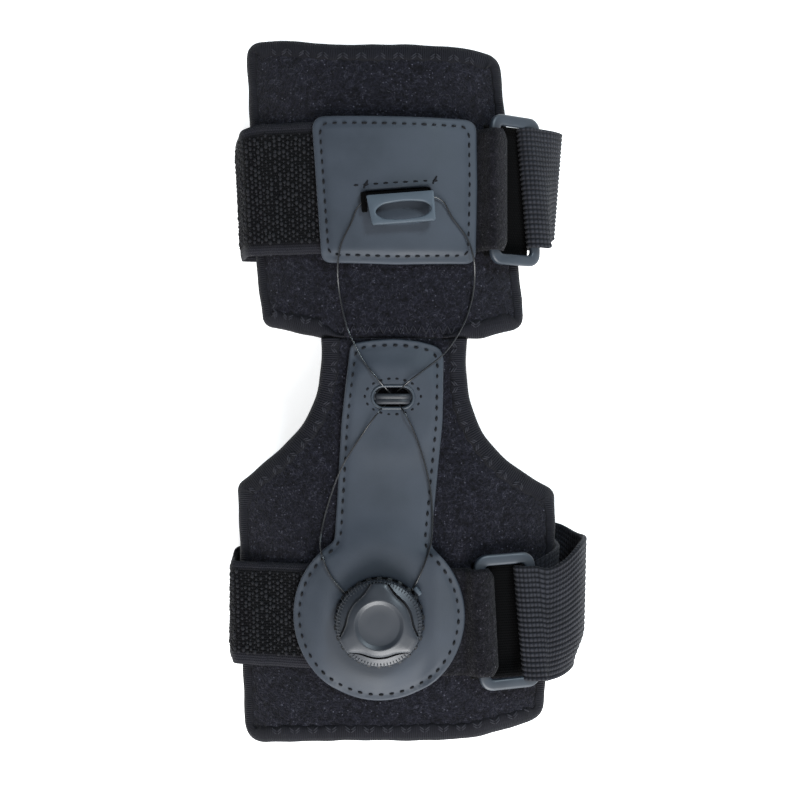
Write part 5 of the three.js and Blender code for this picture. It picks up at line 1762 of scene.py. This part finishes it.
def grip_rings(lobes):
    """Rings of the grip: up its rim, in over sloping pads to a groove round the cap, and down the bore."""
    groove = CAP_SIDE["radius"] + CAP_SIDE["wave"] * lobes + GROOVE["room"]
    groove = np.minimum(groove, PAD["rim"] - PAD["least"])
    rings = [dial_ring(radius, height) for radius, height in GRIP_SIDE]
    for share in PAD_SHARES:
        radius = PAD["rim"] + (groove - PAD["rim"]) * share
        height = PAD["height"] + PAD["slope"] * (PAD["rim"] - radius)
        rings.append(dial_ring(radius, height - PAD["bevel"] * (share == 1.0)))
    rings += [dial_ring(radius, GROOVE["floor"]) for radius in (groove, BORE)]
    return np.stack(rings)


teeth = -smooth_step(np.cos(TEETH * TURNS), TOOTH_EDGE["low"], TOOTH_EDGE["high"])
lobes = (0.5 + 0.5 * np.cos(LOBES * (TURNS - math.pi / 2))) ** 4
lobes = np.minimum(1, LOBE_FLATNESS * lobes)
DIAL_PARTS = table(
    "name mesh plastic body node",
    ("dial_housing", tube(turned_rings(BASE_PROFILE, 0)), DIAL_PLASTIC, "brace", "dial_base"),
    # The toothed collar is near-black: painted shade, for the shadowed band of teeth round the housing.
    ("dial_teeth", bored(turned_rings(COLLAR_PROFILE, teeth)), DARK_AND_SHADE_PLASTIC, "dial_ring", "dial_collar"),
    ("dial_rim", bored(grip_rings(lobes)), DIAL_PLASTIC, "dial_knob", "dial_grip"),
    ("dial_top", tube(turned_rings(CAP_PROFILE, lobes)), DIAL_PLASTIC, "dial_knob", "dial_cap"),
)
for row in DIAL_PARTS:
    part = make_object(row["name"], *row["mesh"], row["plastic"], sharp_angle=35)
    settle(part, row["body"], [row["node"]])

# %% [markdown]
# Fine upright ribs stand round the grip. They are bumps again, as long as the grip is high, and they ride
# with it. Two small dark blocks on the housing are the ports where the lace goes in, and a small tab stands
# beside one of them.

# %% Dial ribs and ports
RIB_COUNT = 78
RIB_SIZE = (3.6, 0.6, 1.4)
RIB_LEAN = 0.62
RIB_PLACE = {"radius": 15.35, "height": 50.9}
PORT_ANGLES = (49, -49)
PORT_SIZE = (3.4, 3.2, 2.4)
PORT_PLACE = {"radius": 15.2, "height": 44.9}
TAB = {"angle": 39, "radius": 18.2, "width": 1.6, "length": 3.4, "low": 44.0, "high": 47.6}


def round_dial(turns, place):
    """Spots round the dial, and the way out at each."""
    outs = flat_ring(around(1, turns), 0.0)
    return outs * place["radius"] + DIAL_PLACE + [0, 0, place["height"]], outs


spots, outs = round_dial(full_turn(RIB_COUNT), RIB_PLACE)
ups, leaning = unit(outs + [0, 0, RIB_LEAN]), unit(outs * RIB_LEAN - [0, 0, 1])
ribs = bumps("dial_ribs", spots, ups, leaning, RIB_SIZE, DIAL_PLASTIC, unevenness=0.0)
settle(ribs, "dial_knob")

spots, outs = round_dial(np.radians([90 + angle for angle in PORT_ANGLES]), PORT_PLACE)
ups = np.tile([0.0, 0.0, 1.0], (len(spots), 1))
ports = bumps("dial_ports", spots, ups, outs, PORT_SIZE, DARK_AND_SHADE_PLASTIC, unevenness=0.0)
settle(ports)

points, faces = soft_block(TAB["width"], TAB["length"], TAB["low"], TAB["high"], (0, 0))
tab_place = around(TAB["radius"], np.radians([TAB["angle"]]), DIAL_CENTRE)[0]
points = turned(points, 0, TAB["angle"], (*tab_place, 0))
# The tab is in the lighter clip plastic: a painted highlight, where the port catches the light.
settle(make_object("dial_tab", points, faces, CLIP_PLASTIC, sharp_angle=40))

# %% [markdown]
# A zigzag seam holds the edge tape. Its stitches are found along the same outline as the tape, each turned
# to run from one side of the seam to the other, and they are left out down the cuffs' sides. A finer zigzag
# runs across the neck, where the two panels meet.

# %% Tape stitches
ZIGZAG = {"pitch": 7.0, "height": 2.7, "depth": 4.6, "gather": 0.09}
ZIGZAG_SIZE = (2.6, 0.6, 0.5)
ZIGZAG_ROWS = [0.0, 0.9]
STITCHED = {"calf": {"half": 40.0, "middle": -11.0}, "foot": {"half": 50.0, "middle": -4.0}}
TAPE_RISE = 0.75
NECK_SEAM = {"left": (-26.5, 23.2), "right": (18.5, 23.2), "height": 3.3, "pitch": 3.2, "points": 40}
NECK_STITCH = (4.0, 0.34, 0.4)
CLOTH_RISE = 0.15


def zigzag(line, depth, height, pitch, gather=0.0):
    """Middles and directions of the strokes of a zigzag beside a line. Gather draws each pair together."""
    even = evenly(line, pitch / 2, False)
    middles = (even[1:] + even[:-1]) / 2
    forward = unit(np.diff(even, axis=0))
    inward = np.column_stack([-forward[:, 1], forward[:, 0]])
    side = np.where(np.arange(len(middles)) % 2, 1.0, -1.0)[:, None]
    strokes = forward * pitch / 2 + inward * side * height
    places = middles + inward * depth - forward * side * gather * pitch
    return places, unit(np.column_stack([strokes, np.zeros(len(middles))]))


def tape_top(x, y):
    return lifted(x, y, TAPE_RISE) - droop(ZIGZAG["depth"])


def panel_top(x, y):
    return lifted(x, y, PANEL_SWELL + CLOTH_RISE)


for name, corners in OUTLINES.items():
    path = bound_path(corners)
    rows = [
        zigzag(path, ZIGZAG["depth"] + step, ZIGZAG["height"], ZIGZAG["pitch"], ZIGZAG["gather"])
        for step in ZIGZAG_ROWS
    ]
    flat, strokes = (np.vstack(part) for part in zip(*rows))
    shown = np.abs(flat[:, 0] - STITCHED[name]["middle"]) < STITCHED[name]["half"]
    if name == "foot":
        shown |= flat[:, 1] > NECK_Y
    spots, ups = on_surface(tape_top, flat[shown])
    label = f"{name}_tape_stitches"
    thread = bumps(label, spots, ups, strokes[shown], ZIGZAG_SIZE, TAPE_THREAD, unevenness=0.05, seed=7)
    settle(thread)

seam_line = np.linspace(NECK_SEAM["left"], NECK_SEAM["right"], NECK_SEAM["points"])
flat, strokes = zigzag(seam_line, 0, NECK_SEAM["height"], NECK_SEAM["pitch"])
spots, ups = on_surface(panel_top, flat)
neck_thread = bumps("neck_stitches", spots, ups, strokes, NECK_STITCH, TAPE_THREAD, seed=9)
settle(neck_thread)

# %% [markdown]
# Brushed cloth gathers lint. A few hundred short pale fibres are scattered over the panels by a seeded
# random draw, each turned its own way, with the same bump group.

# %% Lint
LINT_COUNT = {"calf": 330, "foot": 420}
LINT_SIZE = (0.95, 0.13, 0.13)
LINT_MARGIN = 7
LINT_EDGE_STEP = 2.0
LINT_SEED = 11

for name, corners in OUTLINES.items():
    draw = np.random.default_rng(LINT_SEED)
    edge = np.vstack(outline_turns(corners))
    flat = draw.uniform(edge.min(axis=0), edge.max(axis=0), (4 * LINT_COUNT[name], 2))
    flat = flat[inside(flat, edge)]
    flat = flat[distance_to(flat, evenly(edge, LINT_EDGE_STEP, True)) > LINT_MARGIN][:LINT_COUNT[name]]
    ways = flat_ring(around(1, draw.uniform(0, math.pi, len(flat))), 0.0)
    spots, ups = on_surface(panel_top, flat)
    lint = bumps(f"{name}_lint", spots, ups, ways, LINT_SIZE, LINT, unevenness=0.5, seed=13)
    settle(lint)
